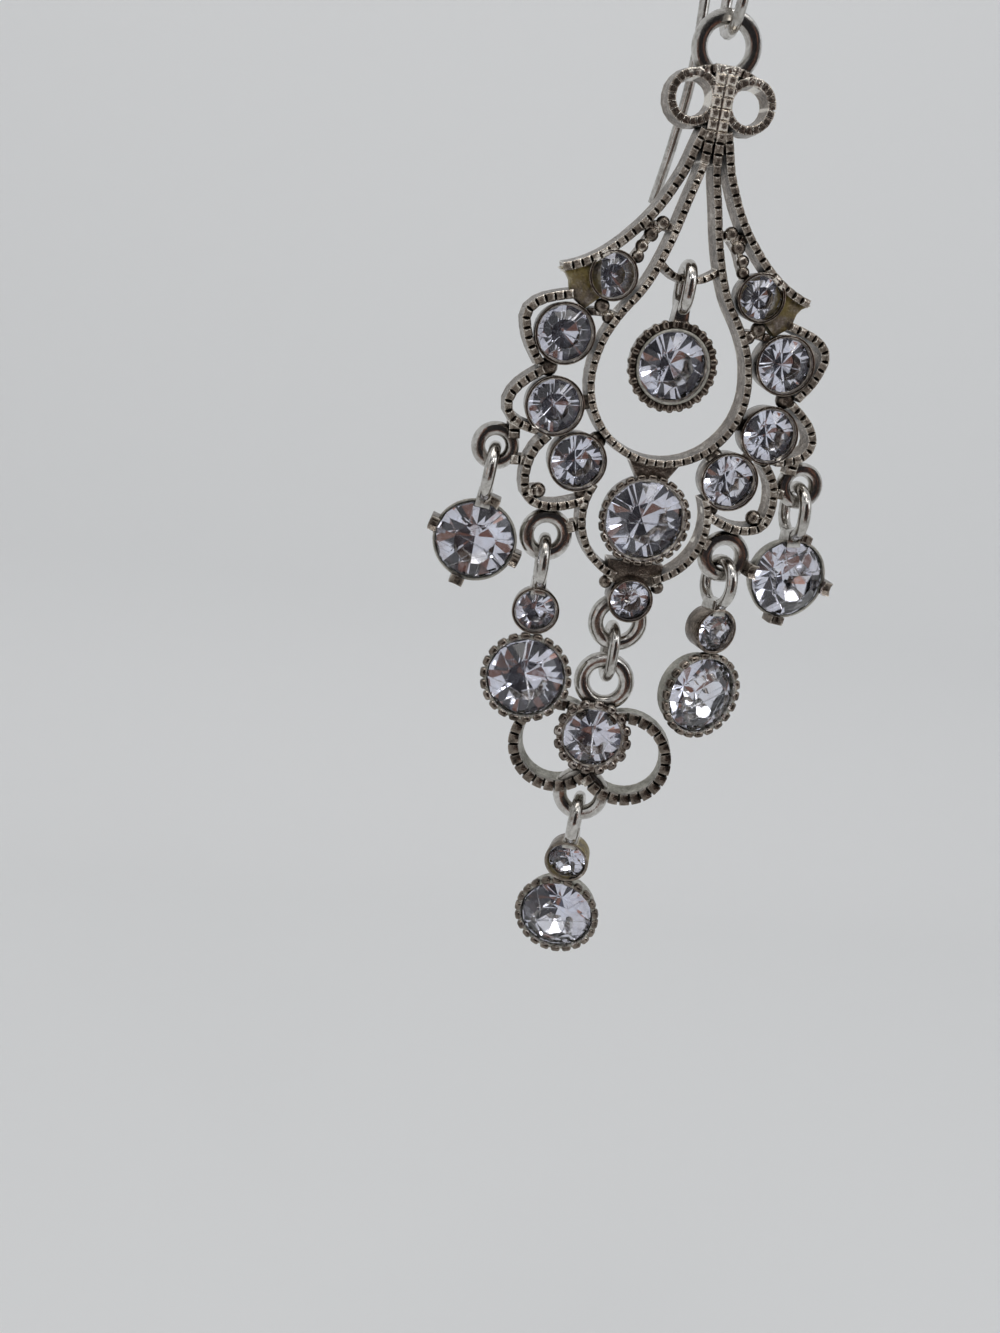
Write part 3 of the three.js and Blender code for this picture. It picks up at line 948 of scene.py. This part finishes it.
# Sub-assemblies
@dataclass
class EarWire:
    """The hook: an eye that holds the frame, an arch over the ear and a long leg behind it."""

    shop: Workshop
    wire: float = 0.35
    eye: float = 1.9
    eye_bottom: float = -13.4
    arch: float = 5.0

    def route(self) -> list[Triple]:
        """The wire's middle line.

        Returns:
            Its points in the row frame, in millimetres.
        """
        centre = self.wire - self.arch
        eye = arc(-RING_PLANE_FORWARD, self.eye_bottom + self.eye, self.eye, 115, -180, 14)
        over = arc(0, centre, self.arch, 180, 0, 8)
        leg = [(0, 0, -5), (0.05, 0.05, -10), (-0.3, 0.7, -14.5), (-0.75, 1.7, -18.4)]
        return [(0, y, z) for y, z in eye + over] + [(x, self.arch + y, centre + z) for x, y, z in leg]

    def build(self) -> None:
        """Bends the wire and rounds its ends."""
        wire = Bench.draw(self.route(), flat=False)
        wire.data.bevel_depth = self.wire
        wire.data.bevel_resolution = 3
        wire.data.resolution_u = 6
        wire.data.use_fill_caps = True
        wire = Bench.to_mesh(wire)
        with Bench.editing(wire):
            Bench.pick(wire, faces=lambda f: len(f.verts) > 6)
            Bench.bevel(self.wire * 0.4, 3)
        Bench.paint(wire, self.shop.palette.polished)
        Bench.soften(wire, 60)
        self.shop.hand_over(wire, "ear_wire_hook", "ear_wire", Slot.POLISHED, TO_METRES, Body.EAR_WIRE)


@dataclass
class FrameCasting:
    """The filigree frame, one casting of notched strands, lobes, cups and hanging rings."""

    shop: Workshop
    front: float = 1.6
    cup_back: float = -0.6
    cup_wall: float = 0.23
    top_ring: Ring = Ring(0, 13.85, 1.2, 0.95, 1.25)
    outer_ring: Ring = Ring(10.35, -11.6, 0.65, 0.92)
    inner_ring: Ring = Ring(6.15, -17.0, 0.78, 1.0)
    foot_ring: Ring = Ring(-0.25, -22.4, 1.0, 1.05)
    teardrop: Point = (-6.1, 5.1)  # centre height and radius of the opening's round part
    lyre: Point = (-14.95, 4.2)
    bezel: float = 3.05

    @staticmethod
    def side_stones() -> list[str]:
        """The names of the frame's plain-set stones."""
        return [f"side_stone_{i}_{side}" for side in ("left", "right") for i in range(1, 5)] + ["foot_stone"]

    @staticmethod
    def measure(node: str) -> Triple:
        """A stone's centre and radius on the bench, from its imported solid."""
        low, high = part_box(node)
        return (low.x + high.x) / 2 / MM, (low.z + high.z) / 2 / MM + SEAT_HEIGHT, (high.x - low.x) / 2 / MM

    def teardrop_strand(self) -> Obj:
        """Lays the strand round the teardrop opening: down one side, round the bottom and up the other.

        Returns:
            The strand.
        """
        side = [(0.42, 7.2), (0.48, 6.7), (0.67, 5.9), (0.93, 4.9), (1.4, 2.95), (1.69, 1.97),
                (2.44, 0), (2.98, -0.97), (3.7, -1.95), (4.27, -2.93), (4.72, -3.95)]
        bottom = arc(0, *self.teardrop, 14, -194, 14)
        return Strand(width=0.62).lay([*side, *bottom, *reversed(mirrored(side, -1))])

    def side(self, side: int) -> list[Obj]:
        """Shapes the strands, webs, grains and bow loop of one side.

        Args:
            side: 1 for the right, -1 for the left.

        Returns:
            The parts, each closed.
        """
        web = {"front": 1.15, "back": 0.0, "pitch": 0.5, "notch": 0.12}
        bow = Strand(width=0.74, front=1.5, back=0.0, pitch=0.42, notch=0.09, crest=0.72, lip=0.02, waist=0.93)
        strands = [
            (Strand(width=0.74, pitch=0.64), [(0.34, 12.2), (0.34, 10.5), (0.34, 9.0), (0.35, 8.0), (0.4, 7.1)]),
            (Strand(), [(0.72, 9.1), (1.09, 7.85), (1.38, 6.82), (1.85, 5.77), (2.38, 4.73), (3.05, 3.7),
                        (3.87, 2.72), (4.85, 1.72), (6.1, 0.78), (7.4, 0.15), (7.95, -0.02)]),
            (Strand(width=0.6, **web), [(1.3, 3.15), (2.2, 3.3), (3.3, 3.05)]),
            (Strand(width=0.5, **web), [(2.2, 3.2), (2.85, 2.5), (3.3, 1.6), (3.75, 0.9)]),
            (Strand(width=0.6, **web), [(4.1, -2.45), (5, -2.35), (6, -2.45)]),
            (Strand(width=0.7), [(7.0, -1.5), (8.1, -1.8), (8.95, -2.15), (9.55, -2.65), (9.75, -3.25),
                                 (9.6, -3.95), (9.25, -4.8), (8.45, -5.95)]),
            (Strand(width=0.7), [(8.1, -6.25), (9.2, -7.1), (9.85, -7.85), (10.1, -8.6), (9.95, -9.2),
                                 (9.5, -9.65), (8.8, -9.95), (7.9, -10.1)]),
            (Strand(width=0.72), [(7.2, -10.3), (8, -11.4), (8.3, -12.6), (8.25, -13.7), (7.9, -14.45),
                                  (7.2, -14.8), (6.2, -14.85), (5.2, -14.6), (4.2, -14.2)]),
            (Strand(width=0.6, pitch=0.4), [(7.35, -13.95), (8, -14.1)]),
            (Strand(width=0.9, front=0.9, pitch=0.5), [(9.4, -9.8), (9.3, -10.9)]),
            (Strand(width=0.8, front=0.6, pitch=0.5), [(8.1, -12.2), (9.3, -12.3)]),
            (Strand(width=0.65), arc(0, *self.lyre, 27, -72, 8)),
            (Strand(width=0.9, front=0.7, pitch=0.5), [(3.9, -15.9), (4.9, -16.3)]),
        ]
        grains = [(2.2, 3.4, 1.0, 0.45), (2.8, 2.65, 1.0, 0.47), (3.25, 1.9, 1.0, 0.42), (3.4, 1.25, 1.0, 0.42),
                  (5.1, -2, 1.0, 0.5), (4.6, -2.6, 1.0, 0.4), (7.85, -6.1, 0.8, 0.62), (5.1, -8, 0.7, 0.5),
                  (3.95, -10.35, 0.7, 0.62), (6.2, -10.1, 0.7, 0.4), (7.3, -13.95, 1.05, 0.52),
                  (4.35, -13.75, 0.8, 0.55), (1.78, -19.5, 0.9, 0.45)]
        return [
            *(style.lay(mirrored(points, side)) for style, points in strands),
            *(ball(x * side, y, z, radius) for x, y, z, radius in grains),
            bow.lay(arc(1.75 * side, 10.68, 1.36, 0, 360, 12)),
        ]

    def middle(self) -> list[Obj]:
        """Shapes the parts on the middle line.

        Returns:
            The parts, each closed.
        """
        brow = [(-2.3, 11.85), (-1.2, 12.3), (0, 12.45), (1.2, 12.3), (2.3, 11.85)]
        crossbar = [(-1.85, 1.05), (-1, 0.48), (0, 0.3), (1, 0.48), (1.85, 1.05)]
        return [
            Plate(((-0.6, 8.6), (0.6, 8.6), (0.75, 12.7), (-0.75, 12.7)), 0, 1.5).build(),
            Strand(width=0.62, front=1.45, back=0.0, pitch=0.5, notch=0.12).lay(brow),
            self.teardrop_strand(),
            Strand(width=0.55, front=1.25, back=0.15, pitch=0.5).lay(crossbar),
            Plate(((-0.95, -12.4), (0.95, -12.4), (1.7, -11.2), (-1.7, -11.2)), 0, 1.2).build(),
            Plate(((-1.75, -19.45), (1.75, -19.45), (1.9, -17.9), (-1.9, -17.9)), -0.3, 1.2).build(),
        ]

    def wing(self, side: int) -> Obj:
        """Cuts the stained plate behind the first stone, out to the wing's tip.

        Args:
            side: 1 for the right, -1 for the left.

        Returns:
            The plate.
        """
        outline = [(7.0, 0.5), (5.6, 1.05), (5.2, -1.4), (6.2, -2.3), (7.15, -1.6), (7.35, -0.75), (7.6, -0.4),
                   (8.15, -0.1)]
        return Plate(mirrored(outline, side), 0, 1.25, edge=0.12).build()

    def cups(self) -> list[Obj]:
        """Makes the plain cups of the small stones and the beaded setting of the centre stone.

        Returns:
            The painted parts.
        """
        made = []
        for x, y, glass in map(self.measure, self.side_stones()):
            cup = Cup(glass + self.cup_wall, self.cup_back, self.front, self.cup_wall - 0.04).build()
            made.append(Bench.move(cup, shift(x, y)))
        x, y, glass = self.measure("centre_stone")
        bowl = self.bezel - 0.16
        made += [
            Bench.move(Cup(bowl, self.cup_back, self.front - 0.12, bowl - glass - 0.05).build(), shift(x, y)),
            Bench.move(Beading(self.bezel - 0.17, 24, 0.8, 0.38, 0.6, self.front).build(), shift(x, y)),
        ]
        return [Bench.paint(part, self.shop.palette.cup) for part in made]

    def rings(self) -> list[Ring]:
        """The hanging rings, at their places."""
        sides = [Ring(ring.x * side, ring.y, ring.hole, ring.bar, ring.depth)
                 for side in (-1, 1) for ring in (self.outer_ring, self.inner_ring)]
        return [self.top_ring, self.foot_ring, *sides]

    def build(self) -> None:
        """Casts the frame and sets its stones."""
        palette = self.shop.palette
        self.shop.cast([
            *(Bench.paint(part, palette.cast) for part in (*self.middle(), *self.side(-1), *self.side(1))),
            *self.cups(),
            *(Bench.paint(self.wing(side), palette.wing) for side in (-1, 1)),
            *(Bench.paint(ring.build(), palette.polished) for ring in self.rings()),
        ], "filigree_frame", "frame")
        for node in (*self.side_stones(), "centre_stone"):
            x, y, glass = self.measure(node)
            stone = self.shop.cutter.set_in(glass, x, y, self.front - StoneCutter.SUNK)
            self.shop.set_stone(stone, node, node)


@dataclass
class Drop:
    """What hangs on a ring of its own, with the stones that are set in it."""

    shop: Workshop
    name: str
    pose: Matrix

    def hanger(self, bail: CrossLoop, wide: float, narrow: float, front: float, back: float = -0.8,
               tip: float = 0.46, edge: float = 0.16) -> list[Obj]:
        """Makes the bail and the neck below it.

        Args:
            bail: The bail.
            wide: The height of the neck's wide end.
            narrow: The height of its narrow end.
            front: How far forward the neck reaches.
            back: How far back it reaches.
            tip: Half the width of its narrow end.
            edge: How far its edges are rounded.

        Returns:
            Both, polished.
        """
        neck = Plate(((-0.55, wide), (0.55, wide), (tip, narrow), (-tip, narrow)), back, front, edge)
        return [Bench.paint(part.build(), self.shop.palette.polished) for part in (bail, neck)]

    def hang(self, parts: Sequence[Obj], node: str, *stones: tuple[str, float, float, float]) -> None:
        """Hangs the casting and sets its stones.

        Args:
            parts: The casting's painted parts.
            node: The CAD node it stands for.
            stones: Each stone's name, its radius, its centre's height and its girdle's.
        """
        place = STAND_UP @ self.pose
        self.shop.cast(parts, f"{self.name}_setting", node, place)
        for name, glass, y, girdle in stones:
            stone = self.shop.cutter.set_in(glass, 0, y, girdle)
            self.shop.set_stone(stone, name, f"{name}_stone", place)


@dataclass
class DoubleDrop(Drop):
    """A bail, a small plain-set stone and a large one in a beaded setting below it."""

    small: float = 1.35
    large: float = 2.62
    bezel: float = 3.08
    small_y: float = -4.4
    large_y: float = -9.05
    rim: float = 0.95
    back: float = -0.85
    stained: bool = False  # whether the small cup is yellowed on its side

    def build(self) -> None:
        """Models the drop and its stones and hangs them."""
        palette = self.shop.palette
        hanger = self.hanger(CrossLoop(0.8, -3.1, 3.0, 0.8), self.small_y + 1, -2.3, 0.85)
        cup = Bench.move(Cup(self.small + 0.25, self.back, self.rim, 0.2).build(), shift(0, self.small_y))
        beads = Beading(self.bezel - 0.2, 22, 0.82, 0.46, 0.62, self.rim).build()
        bowl = Cup(self.bezel - 0.16, self.back, self.rim - 0.14, 0.26, hole=0.4).build()
        Bench.paint(cup, palette.cup)
        if self.stained:
            Bench.paint_faces(cup, palette.wing, lambda f: abs(f.normal.z) < 0.5 and f.normal.x > -0.3)
        low = shift(0, self.large_y)
        self.hang(
            [*hanger, cup, Bench.paint(Bench.move(beads, low), palette.cup),
             Bench.paint(Bench.move(bowl, low), palette.pale)],
            self.name,
            (f"{self.name}_small", self.small, self.small_y, self.rim - StoneCutter.SUNK),
            (f"{self.name}_large", self.large, self.large_y, self.rim - StoneCutter.SUNK),
        )


@dataclass
class SingleDrop(Drop):
    """A bail and one large stone in a shallow cup with four split claws."""

    glass: float = 2.62
    y: float = -5.85
    rim: float = 0.55
    back: float = -0.85
    sunk: float = 0.12
    claws: tuple[int, ...] = (-12, 78, 168, 258)  # their places round the cup, in degrees

    def make_claws(self) -> list[Obj]:
        """Shapes one claw, split in two at its tip, and copies it round the cup.

        Returns:
            The claws.
        """
        bpy.ops.mesh.primitive_cube_add(size=1, location=(self.glass + 0.32, 0, self.rim - 0.15),
                                        scale=(0.6, 0.95, 1.4))
        claw = Bench.fresh()
        with Bench.editing(claw):
            bpy.ops.mesh.select_all(action="SELECT")
            bpy.ops.mesh.subdivide(number_cuts=2)
            Bench.pick(claw, faces=lambda f: f.normal.z > 0.9 and abs(f.calc_center_median().y) < 0.1)
            bpy.ops.transform.translate(value=(0, 0, -0.28))
            Bench.pick(claw, verts=lambda v: v.co.z > self.rim + 0.5)
            bpy.ops.transform.translate(value=(-0.06, 0, 0))
        Bench.modify(claw, "BEVEL", width=0.05, segments=2, limit_method="ANGLE")
        turned = [Bench.move(Bench.copy(claw), shift(0, self.y) @ Matrix.Rotation(math.radians(angle), 4, "Z"))
                  for angle in self.claws]
        bpy.data.objects.remove(claw)
        return turned

    def build(self) -> None:
        """Models the drop and its stone and hangs them."""
        palette = self.shop.palette
        cup = Cup(self.glass + 0.2, self.back, self.rim - 0.1, 0.17, seat=0.3, hole=0.5, taper=0.88).build()
        self.hang(
            [*self.hanger(CrossLoop(0.8, -3.3, 3.0, 0.8), self.y + 2.2, -2.5, 0.68),
             Bench.paint(Bench.move(cup, shift(0, self.y)), palette.pale),
             *(Bench.paint(claw, palette.cup) for claw in self.make_claws())],
            self.name,
            (self.name, self.glass, self.y, self.rim - self.sunk),
        )


@dataclass
class TeardropPendant(Drop):
    """The pendant in the teardrop opening: a bail over the crossbar and a wide ridged border."""

    y: float = -5.83
    radius: float = 2.98
    glass: float = 2.2
    rim: float = 0.95
    back: float = -0.85

    def build(self) -> None:
        """Models the pendant and its stone and hangs them."""
        palette = self.shop.palette
        bpy.ops.mesh.primitive_torus_add(major_segments=48, minor_segments=8, major_radius=self.glass + 0.1,
                                         minor_radius=0.09, location=(0, 0, self.rim - 0.02))
        lip = Bench.fresh()
        bowl = self.radius - 0.14
        border = (
            (Cup(bowl, self.back, self.rim - 0.16, bowl - self.glass - 0.05).build(), palette.cup),
            (Beading(self.radius - 0.36, 26, 0.72, 0.62, 0.6, self.rim).build(), palette.cup),
            (lip, palette.pale),
        )
        bail = CrossLoop(0.75, -2.8, 2.45, 0.72)
        self.hang(
            [*self.hanger(bail, self.y + 2.4, -1.8, 0.75, back=-0.55, tip=0.42, edge=0.14),
             *(Bench.paint(Bench.move(part, shift(0, self.y)), finish) for part, finish in border)],
            "teardrop_pendant",
            ("teardrop", self.glass, self.y, self.rim - StoneCutter.SUNK),
        )


@dataclass
class HeartPiece(Drop):
    """A ring, a setting with round beads, two banded loops that meet below it, and a lower ring."""

    ring: Ring = Ring(0, 0, 1.0, 1.1)
    lower: Ring = Ring(0, -8.35, 0.98, 1.0)
    setting_y: float = -3.9
    radius: float = 2.72
    glass: float = 2.05
    rim: float = 1.25
    loop: Triple = (2.4, -5.05, 2.98)  # centre and radius of the right loop
    band: float = 0.72
    wall_step: float = 0.5
    block_step: float = 0.78
    cut: float = 0.15  # width of the cuts between the band's blocks

    def block(self, pitch: float) -> Obj:
        """Shapes one block of the band's front.

        Args:
            pitch: The length from one block to the next.

        Returns:
            The block.
        """
        size = (pitch - self.cut, self.band, 0.6)
        bpy.ops.mesh.primitive_cube_add(size=1, location=(pitch / 2, 0, 0.7), scale=size)
        block = Bench.fresh()
        with Bench.editing(block):
            Bench.pick(block, faces=lambda f: f.normal.z > 0.9)
            bpy.ops.mesh.subdivide(number_cuts=1)
            bpy.ops.mesh.select_all(action="SELECT")
        Bench.modify(block, "BEVEL", width=0.045, segments=2, limit_method="ANGLE")
        return block

    def wall(self, pitch: float, inner: int) -> Obj:
        """Shapes one length of the band's body, whose inner wall slopes in towards its back.

        Args:
            pitch: Its length.
            inner: 1 if the loop's inside is on the left of its line, -1 if on its right.

        Returns:
            The length of wall, open at both ends.
        """
        size = (pitch, self.band - 0.1, 1.33)
        bpy.ops.mesh.primitive_cube_add(size=1, location=(pitch / 2, 0, -0.215), scale=size)
        body = Bench.fresh()
        with Bench.editing(body):
            Bench.pick(body, verts=lambda v: v.co.z < 0 and v.co.y * inner > 0)
            bpy.ops.transform.translate(value=(0, 0.2 * inner, 0))
            Bench.pick(body, faces=lambda f: abs(f.normal.x) > 0.95)
            bpy.ops.mesh.delete(type="ONLY_FACE")
        return body

    def build(self) -> None:
        """Models the heart piece and its stone and hangs them."""
        palette = self.shop.palette
        x, y, radius = self.loop
        parts = [Bench.paint(ring.build(), palette.polished) for ring in (self.ring, self.lower)]
        for side in (-1, 1):
            line = mirrored(arc(x, y, radius, 125, -144, 14), side)
            wall = Bench.row(line, self.wall_step, lambda pitch: self.wall(pitch, -side))
            blocks = Bench.row(line, self.block_step, self.block, whole=False)
            parts += [Bench.paint(wall, palette.pale), Bench.paint(blocks, palette.cup)]
        bowl = self.radius - 0.2
        cup = Cup(bowl, -0.85, self.rim - 0.2, bowl - self.glass - 0.05, hole=0.4).build()
        beads = Beading(self.radius - 0.3, 16, 0.8, 0.62, 0.62, self.rim, roundness=0.46).build()
        parts += [
            Bench.paint(Bench.move(cup, shift(0, self.setting_y)), palette.cup),
            Bench.paint(Bench.move(beads, shift(0, self.setting_y)), palette.bead),
            Bench.paint(ball(0, y - 2.1, 0, 0.6), palette.cast),
        ]
        self.hang(parts, "heart_piece", ("heart", self.glass, self.setting_y, self.rim - StoneCutter.SUNK))


@dataclass
class Hangings:
    """Everything that hangs on the frame, each in its own pose."""

    shop: Workshop
    frame: FrameCasting
    link: CrossLoop = CrossLoop(0.82, -3.55, 2.6, 0.82, 0.82)
    link_x: float = -0.4
    link_z: float = -0.2

    def build(self) -> None:
        """Builds each hanging piece and hangs it."""
        shop, outer, inner, foot = self.shop, self.frame.outer_ring, self.frame.inner_ring, self.frame.foot_ring
        TeardropPendant(shop, "teardrop_pendant", Pose(y=0.84, z=0.7, swing=2).matrix()).build()
        link = Bench.paint(self.link.build(), shop.palette.polished)
        Bench.soften(link, 60)
        place = STAND_UP @ Pose(self.link_x, foot.hang(), self.link_z).matrix()
        shop.hand_over(link, "centre_link_loop", "centre_link", Slot.POLISHED, place)
        heart_y = foot.hang() + self.link.bottom + self.link.bar + HANG_GAP - HeartPiece.ring.hole
        heart = Pose(self.link_x, heart_y, self.link_z, turn=-13, swing=-3.5, roll=-1.5).matrix()
        HeartPiece(shop, "heart", heart).build()
        hook = heart @ Vector((0, HeartPiece.lower.hang(), 0))
        bottom = Pose(hook.x, hook.y, hook.z, turn=-17.5, swing=5.5, roll=-1)
        left = Pose(-inner.x, inner.hang(), 0.2, turn=-6, swing=-4.6, roll=0.6)
        right = Pose(inner.x, inner.hang(), 0.2, turn=19, swing=-1.8, roll=-1.4)
        DoubleDrop(shop, "bottom_drop", bottom.matrix(), stained=True).build()
        DoubleDrop(shop, "inner_drop_left", left.matrix()).build()
        DoubleDrop(shop, "inner_drop_right", right.matrix()).build()
        left = Pose(-outer.x, outer.hang(), 0, turn=-8, swing=2.5, roll=-4.3)
        right = Pose(outer.x, outer.hang(), 0, turn=8, swing=1, roll=4.6)
        SingleDrop(shop, "outer_drop_left", left.matrix()).build()
        SingleDrop(shop, "outer_drop_right", right.matrix()).build()


# The studio
@dataclass(frozen=True)
class Card:
    """A card that shows only in the metal and the glass; angles are seen from the earring, in degrees."""

    off: float  # away from straight ahead
    clock: float  # round from the right, towards the top
    width: float
    height: float
    colour: Triple
    distance: float = 250

    def direction(self) -> Vector:
        """Which way the card lies, in the row frame."""
        off, clock = math.radians(self.off), math.radians(self.clock)
        return Vector((math.sin(off) * math.cos(clock), -math.cos(off), math.sin(off) * math.sin(clock)))


@dataclass(frozen=True)
class Lamp:
    """A square area light, placed in the row frame in millimetres."""

    name: str
    place: Triple
    size: float
    power: float
    colour: Triple

    def light(self, aim: Vector) -> None:
        """Hangs the light and points it.

        Args:
            aim: Where it points, in the row frame in millimetres.
        """
        bpy.ops.object.light_add(type="AREA", location=Vector(self.place) * MM)
        light = bpy.context.active_object
        light.name = f"studio_{self.name}"
        light.data.size = self.size * MM
        light.data.energy = self.power
        light.data.color = self.colour
        light.rotation_mode = "QUATERNION"
        light.rotation_quaternion = (aim * MM - light.location).to_track_quat("-Z", "Y")


@dataclass
class Studio:
    """A pale sweep, soft light, cards for the metal to reflect, and the camera."""

    aim: Triple = (0, -3, -38)
    floor_z: float = -140
    wall_y: float = 165
    wall_height: float = 700
    sweep_width: float = 9000
    sweep: float = 45
    sweep_colour: Triple = (0.86, 0.865, 0.865)
    surround: Triple = (0.93, 0.94, 0.96)
    surround_strength: float = 0.62
    camera_at: Triple = (-20.62, -87.48, -27.49)
    camera_forward: Triple = (0.1431, 0.9425, -0.3021)
    camera_up: Triple = (-0.1072, 0.3182, 0.9420)
    lens: float = 35.27
    lamps: tuple[Lamp, ...] = (
        Lamp("key", (-60, -40, 230), 150, 0.14, (1.0, 0.98, 0.95)),
        Lamp("fill_right", (210, -120, 40), 120, 0.05, (0.93, 0.96, 1.0)),
        Lamp("sparkle", (60, -170, 130), 22, 0.012, (1.0, 1.0, 1.0)),
    )
    cards: tuple[Card, ...] = (
        Card(17, 0, 300, 330, (0.014, 0.013, 0.015), 262),
        Card(30, 8, 28, 200, (0.17, 0.08, 0.055), 240),
        Card(14, 190, 26, 170, (0.13, 0.06, 0.042), 240),
        Card(20, 275, 150, 30, (0.15, 0.075, 0.05), 240),
        Card(57, 5, 50, 80, (0.36, 0.19, 0.13)),
        Card(55, 128, 90, 80, (0.06, 0.062, 0.08)),
        Card(58, 178, 50, 70, (0.40, 0.22, 0.16)),
        Card(56, 235, 80, 90, (0.08, 0.085, 0.11)),
        Card(57, 285, 60, 60, (0.2, 0.2, 0.26)),
        Card(60, 325, 40, 50, (0.12, 0.12, 0.15)),
        Card(50, 60, 70, 30, (2.2, 2.2, 2.2)),
        Card(62, 262, 50, 26, (1.6, 1.6, 1.7)),
        Card(76, 92, 260, 60, (2.6, 2.55, 2.5)),
        Card(50, 78, 26, 18, (9.0, 9.0, 9.0)),
        Card(44, 122, 18, 16, (8.0, 8.0, 8.0)),
        Card(66, 40, 30, 16, (7.0, 7.0, 7.5)),
    )

    def build_sweep(self) -> None:
        """Makes a floor that curves up into a wall behind the earring."""
        bpy.ops.mesh.primitive_plane_add(size=1, location=(0, self.wall_y / 2 - 200, self.floor_z))
        bpy.context.active_object.scale = (self.sweep_width, self.wall_y + 400, 1)
        sweep = Bench.fresh()
        with Bench.editing(sweep):
            Bench.pick(sweep, edges=lambda e: all(v.co.y > self.wall_y - 1 for v in e.verts))
            Bench.extrude(self.wall_height)
            Bench.pick(sweep, edges=lambda e: all(
                v.co.y > self.wall_y - 1 and v.co.z < self.floor_z + 1 for v in e.verts))
            Bench.bevel(self.sweep, 12)
        Bench.paint(sweep, NodeSheet("pale_sweep").finish({"Roughness": 0.9, "Base Color": (*self.sweep_colour, 1)}))
        Bench.soften(sweep)
        sweep.name = "studio_sweep"
        Bench.move(sweep, TO_METRES)

    def build_cards(self) -> None:
        """Sets up the cards that only the metal and the glass can see."""
        for number, card in enumerate(self.cards, 1):
            way = card.direction()
            bpy.ops.mesh.primitive_plane_add(size=1, location=Vector(self.aim) + way * card.distance,
                                             rotation=way.to_track_quat("Z", "Y").to_euler())
            bpy.context.active_object.scale = (card.width, card.height, 1)
            panel = Bench.fresh()
            glow = {"Roughness": 0.9, "Base Color": (0, 0, 0, 1), "Emission Color": (*card.colour, 1),
                    "Emission Strength": 1.0}
            Bench.paint(panel, NodeSheet(f"card_{number}").finish(glow))
            Bench.move(panel, TO_METRES)
            panel.name = f"studio_card_{number}"
            panel.visible_camera = panel.visible_diffuse = panel.visible_shadow = False

    def build_lights(self) -> None:
        """Hangs the soft lights and sets an even pale surround."""
        for lamp in self.lamps:
            lamp.light(Vector(self.aim))
        world = bpy.data.worlds.new("pale_surround")
        bpy.context.scene.world = world
        world.use_nodes = True
        background = world.node_tree.nodes["Background"]
        background.inputs["Color"].default_value = (*self.surround, 1)
        background.inputs["Strength"].default_value = self.surround_strength

    def build_camera(self) -> None:
        """Sets up the camera, level with the earring's upper half and looking down at it."""
        forward = Vector(self.camera_forward).normalized()
        right = forward.cross(Vector(self.camera_up)).normalized()
        turn = Matrix((right, right.cross(forward), -forward)).transposed()
        bpy.ops.object.camera_add(location=Vector(self.camera_at) * MM)
        camera = bpy.context.active_object
        camera.rotation_euler = turn.to_euler()
        camera.data.sensor_width = 36
        camera.data.lens = self.lens
        camera.data.clip_start = 0.001
        camera.data.dof.use_dof = False
        bpy.context.scene.camera = camera
        bpy.context.scene.view_settings.view_transform = "Standard"

    def build(self) -> None:
        """Sets up the whole studio."""
        self.build_sweep()
        self.build_cards()
        self.build_lights()
        self.build_camera()


def main() -> None:
    """Builds every sub-assembly in order."""
    logging.basicConfig(level=logging.INFO, format="%(message)s", stream=sys.stdout)
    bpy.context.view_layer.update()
    shop = Workshop()
    EarWire(shop).build()
    casting = FrameCasting(shop)
    casting.build()
    Hangings(shop, casting).build()
    shop.clear()
    Studio().build()


if __name__ == "__main__":
    main()
